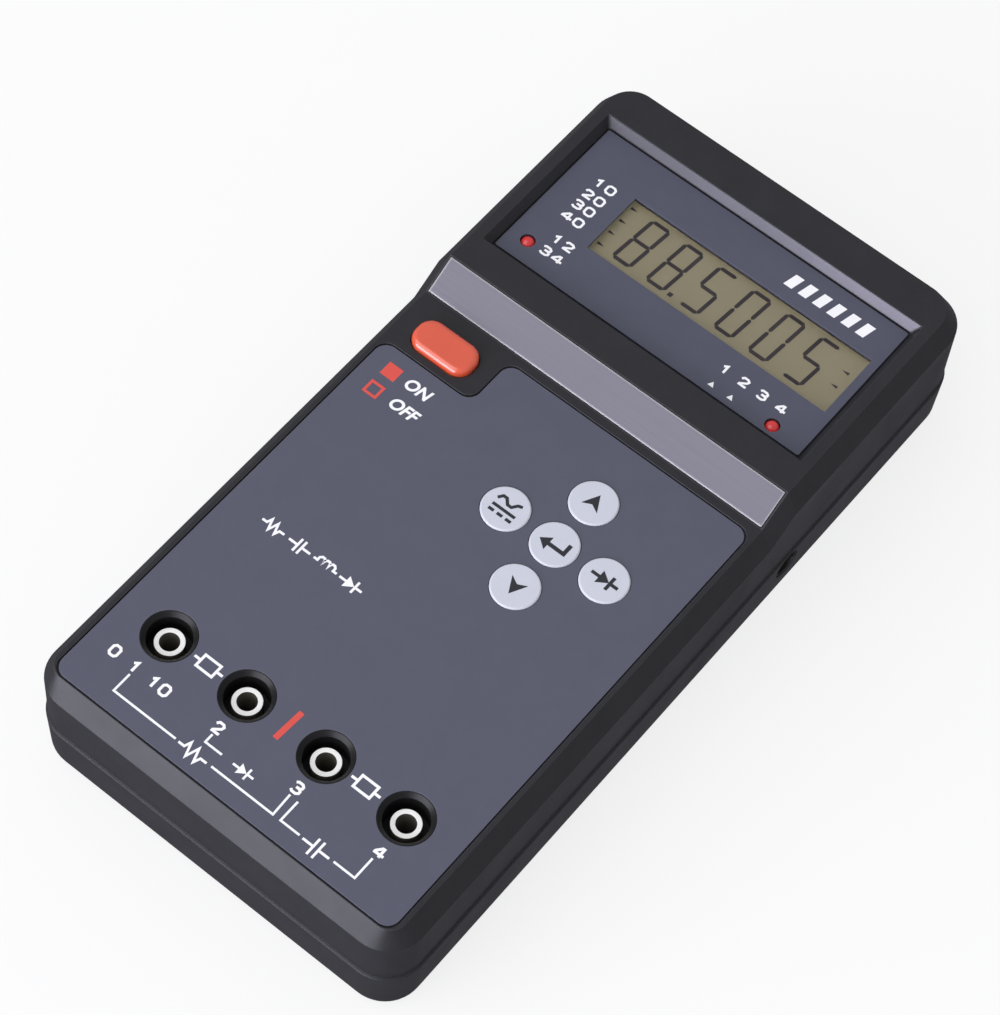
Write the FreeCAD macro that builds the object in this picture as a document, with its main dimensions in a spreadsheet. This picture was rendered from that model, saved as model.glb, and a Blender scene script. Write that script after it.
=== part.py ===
import FreeCAD, Part
import math
import os
from types import SimpleNamespace

import Sketcher
from FreeCAD import Placement, Rotation, Vector

# Driving dimensions of the hand-held tester, in millimetres
SIZES = {
    # Case: origin under its middle, X across, Y towards the display head, Z up
    "case_length": 179.8,
    "case_width": 89.3,
    "corner_radius": 8.4,
    "wall": 2.2,
    "roof": 2.2,
    "base_floor": 2.2,
    "parting_height": 14.0,
    "head_step": 4.6,
    "head_length": 59.25,
    "ramp_run": 7.45,
    "bevel_out": 2.75,
    "bevel_drop": 4.9,
    "deck_corner": 3.6,
    "head_corner": 6.0,
    "shell_step": 0.4,
    "groove_height": 0.5,
    "groove_depth": 0.7,
    "base_edge": 2.5,
    "base_draft": 0.5,
    "rim_thick": 1.2,
    "rim_rise": 1.5,
    "rim_depth": 2.5,
    "fit_gap": 0.15,
    # Feet
    "foot_proud": 0.6,
    "foot_sunk": 0.8,
    "foot_radius": 4.0,
    "foot_chamfer": 0.3,
    "foot_from_side": 7.45,
    "foot_from_end": 21.9,
    # Case screws
    "case_screw_from_side": 7.45,
    "case_screw_from_end": 8.7,
    "column_radius": 4.0,
    "counterbore_radius": 3.1,
    "screw_seat": 8.0,
    "case_screw_length": 16.0,
    "case_screw_radius": 1.45,
    "case_head_radius": 2.75,
    "case_head_height": 2.0,
    "screw_gap": 0.05,
    "slot_width": 0.8,
    "slot_depth": 0.9,
    # Keypad panel
    "panel_thick": 0.6,
    "panel_side_inset": 1.25,
    "panel_front_inset": 0.55,
    "panel_rear_gap": 2.25,
    "panel_corner": 2.8,
    "panel_gap": 0.35,
    "notch_depth": 11.9,
    "notch_from_button": 11.4,
    # Silver strip on the ramp
    "strip_thick": 0.5,
    "strip_sunk": 0.3,
    "strip_side_gap": 0.5,
    "strip_margin": 0.35,
    # Sockets for 4 mm plugs
    "jack_pitch": 19.0,
    "jack_from_front": 22.55,
    "jack_flange_radius": 5.45,
    "jack_barrel_radius": 5.15,
    "jack_well_radius": 4.5,
    "jack_mouth_depth": 0.9,
    "jack_well_depth": 6.4,
    "jack_floor": 1.2,
    "jack_gap": 0.08,
    "sleeve_radius": 2.95,
    "sleeve_sunk": 2.3,
    "sleeve_length": 21.0,
    "socket_radius": 2.0,
    "socket_depth": 19.5,
    "nut_radius": 7.4,
    "nut_height": 2.6,
    # Keys
    "key_radius": 4.95,
    "key_pitch": 11.95,
    "key_from_side": 28.0,
    "key_from_ramp": 28.3,
    "key_proud": 0.25,
    "key_edge": 0.25,
    "key_gap": 0.15,
    "key_flange": 0.8,
    "key_flange_thick": 0.6,
    "stop_gap": 0.3,
    "stem_radius": 1.7,
    "stem_entry": 0.6,
    "switch_width": 6.0,
    "switch_height": 3.5,
    "switch_well": 2.2,
    # Power button
    "button_length": 14.4,
    "button_width": 7.7,
    "button_corner": 3.4,
    "button_crown": 1.2,
    "button_proud": 1.7,
    "button_from_side": 11.6,
    "button_from_ramp": 8.05,
    "button_gap": 0.2,
    "button_flange": 0.9,
    "button_flange_thick": 0.5,
    "power_width": 8.4,
    "power_height": 3.4,
    "power_entry": 0.9,
    "power_well": 2.9,
    # Display
    "display_side_gap": 4.05,
    "display_from_head_edge": 9.0,
    "display_from_rear": 13.35,
    "display_depth": 2.1,
    "display_flare": 1.4,
    "display_gap": 0.4,
    "display_thick": 0.6,
    "display_corner": 0.4,
    "display_floor": 1.4,
    "tub_wall": 1.6,
    "view_from_left": 14.4,
    "view_from_right": 1.9,
    "view_from_front": 11.35,
    "view_from_rear": 9.75,
    "window_thick": 0.7,
    "window_lap": 1.6,
    "window_gap": 0.1,
    "window_ledge": 1.1,
    "glass_lap": 2.4,
    "glass_thick": 2.8,
    "frame_wall": 1.4,
    "frame_gap": 0.15,
    "frame_ledge": 1.5,
    "zebra_width": 2.2,
    "led_radius": 1.5,
    "led_flange": 0.35,
    "led_flange_thick": 1.0,
    "led_gap": 0.1,
    "led_proud": 0.3,
    "led_lead": 0.5,
    "led_lead_pitch": 2.54,
    "led_left_from_side": 4.5,
    "led_left_from_front": 4.85,
    "led_right_from_side": 7.85,
    "led_right_from_front": 2.3,
    # Circuit board
    "board_thick": 1.6,
    "component_room": 6.5,
    "board_side_gap": 2.0,
    "board_end_gap": 1.8,
    "board_notch": 4.4,
    "lead_room": 1.4,
    "boss_radius": 2.6,
    "board_screw_radius": 1.2,
    "board_head_radius": 2.3,
    "board_head_height": 1.6,
    "board_screw_length": 7.0,
    "boss_from_wall": 6.55,
    "boss_from_jacks": 19.35,
    "boss_from_button": 16.75,
    "head_boss_from_wall": 8.55,
    "head_boss_from_screw": 6.2,
    # Battery bay
    "cell_radius": 7.25,
    "cell_length": 50.5,
    "nub_radius": 2.75,
    "nub_length": 1.3,
    "cell_pitch": 14.9,
    "cell_gap": 0.3,
    "contact_thick": 0.5,
    "contact_spring": 1.85,
    "contact_margin": 2.2,
    "contact_tail": 3.0,
    "dimple_base": 4.0,
    "dimple_tip": 2.0,
    "bay_wall": 1.6,
    "bay_roof": 1.5,
    "bay_from_rear": 5.3,
    "rib_width": 2.0,
    "rib_height": 3.0,
    "flange_thick": 1.5,
    # Battery door
    "door_from_foot": 0.9,
    "door_gap": 0.2,
    "door_tongue": 1.5,
    "door_skin": 2.0,
    "tongue_thick": 0.8,
    "door_lead": 2.0,
    "door_lip": 2.4,
    "lip_height": 5.0,
    "grip_width": 26.0,
    "grip_pitch": 2.6,
    "grip_groove": 1.2,
    "grip_depth": 0.6,
    "grip_from_rear": 22.0,
    # Adapter inlet
    "inlet_from_head_edge": 1.0,
    "inlet_from_parting": 4.2,
    "inlet_width": 9.0,
    "inlet_tall": 8.6,
    "inlet_length": 8.0,
    "inlet_nose_radius": 3.3,
    "inlet_bore_radius": 2.8,
    "inlet_bore_depth": 9.2,
    "inlet_pin_radius": 1.0,
    "inlet_pin_sunk": 1.0,
    "inlet_gap": 0.1,
    "lug_pitch": 4.5,
    "lug_width": 2.4,
    "lug_thick": 0.6,
    # Board components
    "fuse_radius": 2.6,
    "fuse_waist": 2.3,
    "fuse_length": 20.0,
    "fuse_cap": 5.0,
    "fuse_x": 2.0,
    "fuse_from_jacks": 20.0,
    "fuse_lift": 0.5,
    "clip_thick": 0.5,
    "clip_length": 4.0,
    "clip_height": 4.2,
    "clip_mouth": 4.2,
    "processor_width": 14.0,
    "processor_height": 1.8,
    "processor_corner": 0.8,
    "processor_x": -16.0,
    "processor_from_jacks": 45.35,
    "amplifier_width": 4.0,
    "amplifier_length": 5.2,
    "amplifier_height": 1.6,
    "amplifier_pitch": 8.5,
    "amplifier_x": -22.0,
    "amplifier_from_jacks": 27.95,
    "capacitor_radius": 3.15,
    "capacitor_height": 5.0,
    "capacitor_pitch": 8.0,
    "capacitor_x": 24.0,
    "capacitor_from_jacks": 22.0,
}
CELL_COUNT = 4
GRIP_COUNT = 5
AMPLIFIER_COUNT = 3
CAPACITOR_COUNT = 2
JACK_STEPS = (-1.5, -0.5, 0.5, 1.5)
CORNERS = ((1, 1), (-1, 1), (-1, -1), (1, -1))
SIDES = (-1, 1)
NUT_SIDE_COUNT = 6
OVERCUT = 1
SAME = 1e-6

doc = FreeCAD.newDocument("component_tester")
sheet = doc.addObject("Spreadsheet::Sheet", "Sizes")
for row, (alias, number) in enumerate(SIZES.items(), start=1):
    sheet.set(f"A{row}", alias)
    sheet.set(f"B{row}", str(number))
    sheet.setAlias(f"B{row}", alias)
doc.recompute()


class Size:
    """A length, held as a number and as the sheet formula that gives it."""

    def __init__(self, formula, value):
        self.formula = formula
        self.value = value

    def __add__(self, other):
        other = as_size(other)
        return Size(f"({self.formula} + {other.formula})", self.value + other.value)

    def __sub__(self, other):
        other = as_size(other)
        return Size(f"({self.formula} - {other.formula})", self.value - other.value)

    def __mul__(self, other):
        other = as_size(other)
        return Size(f"({self.formula} * {other.formula})", self.value * other.value)

    def __truediv__(self, other):
        other = as_size(other)
        return Size(f"({self.formula} / {other.formula})", self.value / other.value)

    def __neg__(self):
        return Size(f"(-1 * {self.formula})", -self.value)


def as_size(amount):
    """A plain number as a Size, and a Size as it is."""
    return amount if isinstance(amount, Size) else Size(repr(amount), amount)


def hypotenuse(rise, run):
    """Length of a slope."""
    formula = f"sqrt({rise.formula} * {rise.formula} + {run.formula} * {run.formula})"
    return Size(formula, math.hypot(rise.value, run.value))


def slope_angle(rise, run):
    """Angle of a slope, in degrees."""
    formula = f"atan({rise.formula} / {run.formula})"
    return Size(formula, math.degrees(math.atan2(rise.value, run.value)))


def both(half):
    """Pair of planes equally far to either side of the middle."""
    return (-half, half)


def span(middle, half):
    """Pair of planes equally far to either side of a place."""
    middle = as_size(middle)
    return (middle - half, middle + half)


size = SimpleNamespace(**{alias: Size(f"Sizes.{alias}", float(sheet.get(alias))) for alias in SIZES})
nothing = as_size(0)
nodes = []


# Building blocks


def bind(item, prop, amount):
    """Tie one property of a document object to the sheet."""
    item.setExpression(prop, as_size(amount).formula)


def place(item, x=nothing, y=nothing, z=nothing, turn=None):
    """Put a document object at a place that follows the sheet."""
    if turn:
        item.Placement = Placement(Vector(), turn)
    for axis, amount in zip("xyz", (x, y, z)):
        bind(item, f"Placement.Base.{axis}", amount)
    return item


def node(name, item):
    """Name a finished sub-part."""
    item.Label = name
    nodes.append(item)


def block(name, across, along, level):
    """Box between three pairs of planes."""
    item = doc.addObject("Part::Box", name)
    for prop, (low, high) in (("Length", across), ("Width", along), ("Height", level)):
        bind(item, prop, high - low)
    return place(item, across[0], along[0], level[0])


def rod(name, middle, level, radius):
    """Upright cylinder about a place (x, y), between two levels."""
    item = doc.addObject("Part::Cylinder", name)
    bind(item, "Radius", radius)
    bind(item, "Height", level[1] - level[0])
    return place(item, *middle, level[0])


def cross_rod(name, across, middle, radius):
    """Cylinder lying along X about a place (y, z)."""
    item = doc.addObject("Part::Cylinder", name)
    bind(item, "Radius", radius)
    bind(item, "Height", across[1] - across[0])
    return place(item, across[0], *middle, Rotation(Vector(0, 1, 0), 90))


def fuse(name, *pieces):
    """One solid out of several."""
    item = doc.addObject("Part::MultiFuse", name)
    item.Shapes = list(pieces)
    item.Refine = True
    return item


def group(name, pieces):
    """Several separate solids in one node."""
    item = doc.addObject("Part::Compound", name)
    item.Links = list(pieces)
    return item


def cut(name, base, *tools):
    """A solid less one or more others."""
    item = doc.addObject("Part::Cut", name)
    item.Base = base
    item.Tool = tools[0] if len(tools) == 1 else fuse(f"{name}_cuts", *tools)
    item.Refine = True
    return item


def common(name, first, second):
    """What two solids share."""
    item = doc.addObject("Part::Common", name)
    item.Base = first
    item.Tool = second
    item.Refine = True
    return item


def dimension(sketch, constraint, amount):
    """Add a sketch dimension that follows the sheet."""
    bind(sketch, f"Constraints[{sketch.addConstraint(constraint)}]", amount)


def hold(sketch, line, across, along):
    """Fix the start of a sketch line by its two distances from the sketch's origin."""
    for kind, axis, amount in (("DistanceX", -2, across), ("DistanceY", -1, along)):
        if amount.value == 0:
            sketch.addConstraint(Sketcher.Constraint("PointOnObject", line, 1, axis))
        else:
            dimension(sketch, Sketcher.Constraint(kind, -1, 1, line, 1, amount.value), amount)


def draw_polygon(sketch, points):
    """Closed outline of straight lines, with every corner held."""
    corners = [Vector(across.value, along.value, 0) for across, along in points]
    for line, corner in enumerate(corners):
        sketch.addGeometry(Part.LineSegment(corners[line - 1], corner))
    for line, (across, along) in enumerate(points[-1:] + points[:-1]):
        before = (line - 1) % len(points)
        sketch.addConstraint(Sketcher.Constraint("Coincident", line, 1, before, 2))
        hold(sketch, line, across, along)


def draw_rounded(sketch, half, along, radius):
    """Rounded rectangle, centred across the case: four arcs, then the four sides between them."""
    front, rear = along
    right = half.value - radius.value
    low = front.value + radius.value
    high = rear.value - radius.value
    quarter = math.pi / 2
    for arc, (x, y) in enumerate(((right, high), (-right, high), (-right, low), (right, low))):
        circle = Part.Circle(Vector(x, y, 0), Vector(0, 0, 1), radius.value)
        sketch.addGeometry(Part.ArcOfCircle(circle, arc * quarter, (arc + 1) * quarter))
    arcs = range(len(CORNERS))
    following = [1, 2, 3, 0]
    for arc in arcs:
        ends = (sketch.getPoint(arc, 2), sketch.getPoint(following[arc], 1))
        side = sketch.addGeometry(Part.LineSegment(*ends))
        sketch.addConstraint(Sketcher.Constraint("Tangent", arc, 2, side, 1))
        sketch.addConstraint(Sketcher.Constraint("Tangent", side, 2, following[arc], 1))
        sketch.addConstraint(Sketcher.Constraint("Vertical" if arc % 2 else "Horizontal", side))
    for arc in arcs[1:]:
        sketch.addConstraint(Sketcher.Constraint("Equal", 0, arc))
    dimension(sketch, Sketcher.Constraint("Radius", 0, radius.value), radius)
    for arc, amount in zip(arcs, (rear, -half, front, half)):
        side = arc + len(CORNERS)
        kind = "DistanceX" if arc % 2 else "DistanceY"
        dimension(sketch, Sketcher.Constraint(kind, -1, 1, side, 1, amount.value), amount)


def rounded_outline(name, half, along, radius, height):
    """Level rounded rectangle at a height."""
    sketch = doc.addObject("Sketcher::SketchObject", name)
    draw_rounded(sketch, half, along, radius)
    return place(sketch, z=height)


def rectangle(across, along):
    """Corners of a level rectangle."""
    return [(across[0], along[0]), (across[1], along[0]), (across[1], along[1]), (across[0], along[1])]


def new_body(name, role):
    """Body with an empty sketch on one of its origin planes."""
    body = doc.addObject("PartDesign::Body", name)
    sketch = body.newObject("Sketcher::SketchObject", f"{name}_outline")
    plane = next(item for item in body.Origin.OriginFeatures if item.Role == role)
    sketch.AttachmentSupport = [(plane, "")]
    sketch.MapMode = "FlatFace"
    return body, sketch


def is_upright(edge):
    """True for a straight edge along Z."""
    ends = [vertex.Point for vertex in edge.Vertexes]
    return len(ends) == 2 and abs(abs(ends[1].z - ends[0].z) - edge.Length) < SAME


def lies_at(height):
    """Test for edges that lie level at one height."""
    return lambda edge: all(abs(vertex.Z - height.value) < SAME for vertex in edge.Vertexes)


def soften(body, name, radius, wanted):
    """Round the edges of a body that the test picks out."""
    doc.recompute()
    latest = body.Tip
    edges = [f"Edge{i}" for i, edge in enumerate(latest.Shape.Edges, start=1) if wanted(edge)]
    rounding = body.newObject("PartDesign::Fillet", name)
    rounding.Base = (latest, edges)
    bind(rounding, "Radius", radius)


def plate(name, points, level, corner=None):
    """Flat plate with straight or rounded corners."""
    body, sketch = new_body(name, "XY_Plane")
    draw_polygon(sketch, points)
    pad = body.newObject("PartDesign::Pad", f"{name}_pad")
    pad.Profile = sketch
    bind(pad, "Length", level[1] - level[0])
    if corner:
        soften(body, f"{name}_corners", corner, is_upright)
    return place(body, z=level[0])


def turned(name, profile, x, y, z=nothing, turn=None):
    """Round piece, from a half profile of (radius, height) points about its own axis."""
    body, sketch = new_body(name, "XZ_Plane")
    draw_polygon(sketch, profile)
    lathe = body.newObject("PartDesign::Revolution", f"{name}_turn")
    lathe.Profile = sketch
    lathe.ReferenceAxis = (sketch, ["V_Axis"])
    lathe.Angle = 360
    return place(body, x, y, z, turn)


def loft(name, *outlines):
    """Straight-sided solid through level outlines."""
    item = doc.addObject("Part::Loft", name)
    item.Sections = list(outlines)
    item.Solid = True
    item.Ruled = True
    return item


def sweep(name, outline, reach):
    """Outline swept straight along the reach (x, z)."""
    item = doc.addObject("Part::Extrusion", name)
    item.Base = outline
    item.DirMode = "Custom"
    item.Dir = Vector(reach[0].value, 0, reach[1].value)
    bind(item, "Dir.x", reach[0])
    bind(item, "Dir.z", reach[1])
    item.Solid = True
    return item


def side_sweep(name, points, x, reach):
    """Outline of (y, z) points in the plane at x, swept along the reach."""
    sketch = doc.addObject("Sketcher::SketchObject", f"{name}_outline")
    draw_polygon(sketch, points)
    place(sketch, x, turn=Rotation(Vector(1, 1, 1), 120))
    return sweep(name, sketch, reach)


# Levels and lines that the pieces share

half_width = size.case_width / 2
case_rear = size.case_length / 2
case_front = -case_rear
upper_half_width = half_width - size.shell_step
upper_rear = case_rear - size.shell_step
upper_front = -upper_rear
upper_corner = size.corner_radius - size.shell_step
inner_half_width = upper_half_width - size.wall
deck_half_width = upper_half_width - size.bevel_out
head_edge = upper_rear - size.head_length
ramp_foot = head_edge - size.ramp_run
slope = hypotenuse(size.head_step, size.ramp_run)

base = size.foot_proud
floor_top = base + size.base_floor
rim_top = size.parting_height + size.rim_rise
mate_level = rim_top + size.fit_gap
door_top = base + size.door_skin
cell_level = door_top + size.cell_gap + size.cell_radius
bay_ceiling = cell_level + size.cell_radius + size.cell_gap
bay_top = bay_ceiling + size.bay_roof
board_under = bay_top + size.lead_room
board_top = board_under + size.board_thick
deck_under = board_top + size.component_room
deck = deck_under + size.roof
head = deck + size.head_step
panel_seat = deck - size.panel_thick
flange_top = deck_under - size.stop_gap
display_top = head - size.display_depth
display_seat = display_top - size.display_thick
tub_under = display_seat - size.display_floor

jack_y = case_front + size.jack_from_front
jack_places = [(size.jack_pitch * step, jack_y) for step in JACK_STEPS]
key_x = deck_half_width - size.key_from_side
key_y = ramp_foot - size.key_from_ramp
key_places = {
    "up": (key_x, key_y + size.key_pitch),
    "down": (key_x, key_y - size.key_pitch),
    "left": (key_x - size.key_pitch, key_y),
    "right": (key_x + size.key_pitch, key_y),
    "enter": (key_x, key_y),
}
strip_half_width = deck_half_width - size.strip_side_gap
button_x = size.button_from_side - deck_half_width
button_y = ramp_foot - size.button_from_ramp
button_place = (button_x, button_y)

display_half_width = deck_half_width - size.display_side_gap
display_along = (head_edge + size.display_from_head_edge, upper_rear - size.display_from_rear)
display_front, display_rear = display_along
view_across = (size.view_from_left - display_half_width, display_half_width - size.view_from_right)
view_along = (display_front + size.view_from_front, display_rear - size.view_from_rear)
led_places = {
    "left": (size.led_left_from_side - display_half_width, display_front + size.led_left_from_front),
    "right": (display_half_width - size.led_right_from_side, display_front + size.led_right_from_front),
}

bay_half_width = size.cell_length / 2 + size.contact_spring + size.contact_thick
contact_face = bay_half_width - size.contact_thick
bay_rear = case_rear - size.bay_from_rear
bay_front = bay_rear - size.cell_pitch * CELL_COUNT - size.cell_gap * 2
cell_rows = [bay_front + size.cell_gap + size.cell_pitch * (cell + 0.5) for cell in range(CELL_COUNT)]
door_front = bay_front - size.bay_wall - size.door_lead

screw_x = half_width - size.case_screw_from_side
screw_y = case_rear - size.case_screw_from_end
case_screw_places = [(screw_x * a, screw_y * b) for a, b in CORNERS]
boss_x = inner_half_width - size.boss_from_wall
boss_rows = (jack_y + size.boss_from_jacks, button_y - size.boss_from_button)
head_boss_x = inner_half_width - size.head_boss_from_wall
head_boss_y = screw_y - size.head_boss_from_screw
head_screw_places = [(head_boss_x * side, head_boss_y) for side in SIDES]
board_screw_places = [(boss_x * side, row) for row in boss_rows for side in SIDES] + head_screw_places
foot_x = half_width - size.foot_from_side
foot_y = case_rear - size.foot_from_end
foot_places = [(foot_x * a, foot_y * b) for a, b in CORNERS]
tongue_reach = foot_x - size.foot_radius - size.door_from_foot
door_half_width = tongue_reach - size.door_tongue
lip_inside = case_rear - size.door_lip
inlet_place = (head_edge + size.inlet_from_head_edge, size.parting_height - size.inlet_from_parting)
inlet_front = half_width - size.wall - size.base_draft
inlet_across = (inlet_front - size.inlet_length, inlet_front)
inlet_along = span(inlet_place[0], size.inlet_width / 2)
inlet_level = span(inlet_place[1], size.inlet_tall / 2)


def widened(pair, margin):
    """Pair of planes moved apart by a margin on either side."""
    return (pair[0] - margin, pair[1] + margin)


def around_view(margin):
    """Rectangle of the display opening, grown by a margin, as two pairs of planes."""
    return widened(view_across, margin), widened(view_along, margin)


# Upper shell: lower deck, ramp and raised head, bevelled all round


def upper_stage(name, top, deck_corner, inset):
    """Walls and bevel up to one deck level, drawn in all round by the inset."""
    half = upper_half_width - inset
    along = both(upper_rear - inset)
    deck_along = both(upper_rear - inset - size.bevel_out)
    corner = upper_corner - inset
    return loft(
        name,
        rounded_outline(f"{name}_foot", half, along, corner, size.parting_height),
        rounded_outline(f"{name}_shoulder", half, along, corner, top - size.bevel_drop),
        rounded_outline(f"{name}_deck", half - size.bevel_out, deck_along, deck_corner, top),
    )


def upper_form(name, inset, drop):
    """Whole outline of the upper shell, drawn in by the inset and lowered by the drop."""
    low = upper_stage(f"{name}_low", deck - drop, size.deck_corner, inset)
    tall = upper_stage(f"{name}_tall", head - drop, size.head_corner, inset)
    clear = head + OVERCUT
    above_ramp = [
        (upper_front, deck - drop),
        (ramp_foot, deck - drop),
        (head_edge, head - drop),
        (head_edge, clear),
        (upper_front, clear),
    ]
    edge = deck_half_width - inset
    out = size.bevel_out * 2
    down = -(size.bevel_drop * 2)
    tools = [
        side_sweep(f"{name}_over_ramp", above_ramp, -edge, (edge * 2, nothing)),
        side_sweep(f"{name}_over_right", above_ramp, edge, (out, down)),
        side_sweep(f"{name}_over_left", above_ramp, -edge, (-out, down)),
        block(
            f"{name}_before_ramp",
            both(half_width),
            (case_front, ramp_foot - size.ramp_run),
            (size.parting_height - OVERCUT, clear),
        ),
    ]
    return fuse(name, low, cut(f"{name}_head", tall, *tools))


def panel_outline(grow):
    """Keypad panel with its notch round the power button, grown by a clearance."""
    side = deck_half_width - size.panel_side_inset + grow
    front = size.bevel_out + upper_front + size.panel_front_inset - grow
    rear = ramp_foot - size.panel_rear_gap + grow
    notch_front = rear - size.notch_depth
    notch_side = button_x + size.notch_from_button - grow
    return [
        (-side, front),
        (side, front),
        (side, rear),
        (notch_side, rear),
        (notch_side, notch_front),
        (-side, notch_front),
    ]


def button_outline(name, grow, level):
    """Rounded outline of the power button, grown by a clearance."""
    across = span(button_place[0], size.button_length / 2 + grow)
    along = span(button_place[1], size.button_width / 2 + grow)
    return plate(name, rectangle(across, along), level, size.button_corner + grow)


def ramp_layer(name, depths, margin, half):
    """Layer on the ramp between two depths square to its face, with a margin at foot and top."""
    along_y = size.ramp_run / slope
    along_z = size.head_step / slope
    foot, top = margin, slope - margin
    corners = [(foot, depths[0]), (top, depths[0]), (top, depths[1]), (foot, depths[1])]
    points = [
        (ramp_foot + along_y * reach + along_z * depth, deck + along_z * reach - along_y * depth)
        for reach, depth in corners
    ]
    return side_sweep(name, points, -half, (half * 2, nothing))


def front_bosses():
    """Bosses under the decks for the board's screws and the case screws, and their pilot holes."""
    solids = []
    pilots = []
    in_roof = size.roof / 2
    pilot = size.board_screw_radius + size.screw_gap
    for number, middle in enumerate(board_screw_places):
        under = tub_under if middle in head_screw_places else deck_under
        solids.append(rod(f"board_boss_{number}", middle, (board_top, under + in_roof), size.boss_radius))
        pilots.append(rod(f"board_pilot_{number}", middle, (board_top, under), pilot))
    boss = size.column_radius - size.fit_gap
    pilot = size.case_screw_radius + size.screw_gap
    pilot_top = size.screw_seat + size.case_screw_length + OVERCUT
    for number, (middle, (_, end)) in enumerate(zip(case_screw_places, CORNERS)):
        roof = head if end > 0 else deck
        solids.append(rod(f"case_boss_{number}", middle, (mate_level, roof - in_roof), boss))
        pilots.append(rod(f"case_pilot_{number}", middle, (mate_level, pilot_top), pilot))
    return solids, pilots


def display_recess():
    """Sunk seat of the display panel, its walls flared towards the top."""
    half = display_half_width + size.display_gap
    flare = size.display_flare
    along = widened(display_along, size.display_gap)
    flared = widened(along, flare)
    corner = size.display_corner
    return loft(
        "display_recess",
        rounded_outline("recess_floor", half, along, corner, display_seat),
        rounded_outline("recess_waist", half, along, corner, display_top),
        rounded_outline("recess_mouth", half + flare, flared, corner, head),
    )


def make_front_housing():
    """Upper shell with its tub for the display, bosses, seats and openings."""
    outside = upper_form("upper_outside", nothing, nothing)
    inside = upper_form("upper_inside", size.wall, size.roof)
    tub = block(
        "display_tub",
        both(display_half_width + size.tub_wall),
        widened(display_along, size.tub_wall),
        (tub_under, head - size.roof / 2),
    )
    bosses, cuts = front_bosses()
    through_deck = (deck_under - OVERCUT, deck + OVERCUT)
    through_tub = (tub_under - OVERCUT, display_seat)
    window_level = (display_seat - size.window_thick, display_seat + OVERCUT)
    cuts += [
        plate("panel_recess", panel_outline(size.panel_gap), (panel_seat, deck + OVERCUT), size.panel_corner),
        display_recess(),
        block("window_pocket", *around_view(size.window_lap + size.window_gap), window_level),
        block("sight_opening", *around_view(size.window_lap - size.window_ledge), through_tub),
        button_outline("button_hole", size.button_gap, through_deck),
        ramp_layer(
            "strip_recess",
            (as_size(-OVERCUT), size.strip_sunk),
            size.strip_margin - size.fit_gap,
            strip_half_width + size.fit_gap,
        ),
    ]
    for side, middle in led_places.items():
        cuts.append(rod(f"led_hole_{side}", middle, through_tub, size.led_radius + size.led_gap))
    for number, middle in enumerate(jack_places):
        hole = size.jack_barrel_radius + size.jack_gap
        cuts.append(rod(f"jack_hole_{number}", middle, through_deck, hole))
    for side, middle in key_places.items():
        cuts.append(rod(f"key_hole_{side}", middle, through_deck, size.key_radius + size.key_gap))
    shell = cut("upper_shell", outside, inside)
    node("front_housing", cut("front_housing", fuse("front_solids", shell, tub, *bosses), *cuts))


# Lower shell with the battery bay, and the door that closes it


def lower_form(name):
    """Outside of the lower shell, drafted, with its bottom edge rounded."""
    body, sketch = new_body(name, "XY_Plane")
    draft = size.base_draft
    draw_rounded(sketch, half_width - draft, both(case_rear - draft), size.corner_radius - draft)
    pad = body.newObject("PartDesign::Pad", f"{name}_pad")
    pad.Profile = sketch
    bind(pad, "Length", size.parting_height - base)
    bind(pad, "TaperAngle", slope_angle(draft, size.parting_height - base))
    soften(body, f"{name}_edge", size.base_edge, lies_at(nothing))
    return place(body, z=base)


def lower_cavity():
    """Hollow of the lower shell, with the draft of its outside."""
    inset = size.wall + size.base_draft
    corner = size.corner_radius - size.wall
    return loft(
        "lower_cavity",
        rounded_outline("cavity_floor", half_width - inset, both(case_rear - inset), corner, floor_top),
        rounded_outline(
            "cavity_mouth",
            half_width - size.wall,
            both(case_rear - size.wall),
            corner,
            size.parting_height,
        ),
    )


def wall_line(name, half, level):
    """Upright prism that follows the case's outline at a given half width."""
    end = upper_rear - upper_half_width + half
    corner = upper_corner - upper_half_width + half
    outline = rounded_outline(f"{name}_line", half, both(end), corner, level[0])
    return sweep(name, outline, (nothing, level[1] - level[0]))


def locating_rim():
    """Upright lip that locates the upper shell on the lower one."""
    start = size.parting_height - size.rim_depth
    outer = inner_half_width - size.fit_gap
    into_wall = half_width - size.wall / 2
    root = wall_line("rim_root", into_wall, (start, size.parting_height - size.groove_height))
    lip = wall_line("rim_lip", outer, (start, rim_top))
    hollow = wall_line("rim_hollow", outer - size.rim_thick, (start - OVERCUT, rim_top + OVERCUT))
    return cut("locating_rim", fuse("rim_solid", root, lip), hollow)


def parting_groove():
    """Shadow line round the lower shell's top edge."""
    low = size.parting_height - size.groove_height
    high = size.parting_height + OVERCUT
    outer = wall_line("groove_outside", half_width + OVERCUT, (low, high))
    inner = wall_line("groove_inside", half_width - size.groove_depth, (low - OVERCUT, high + OVERCUT))
    return cut("parting_groove", outer, inner)


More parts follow.
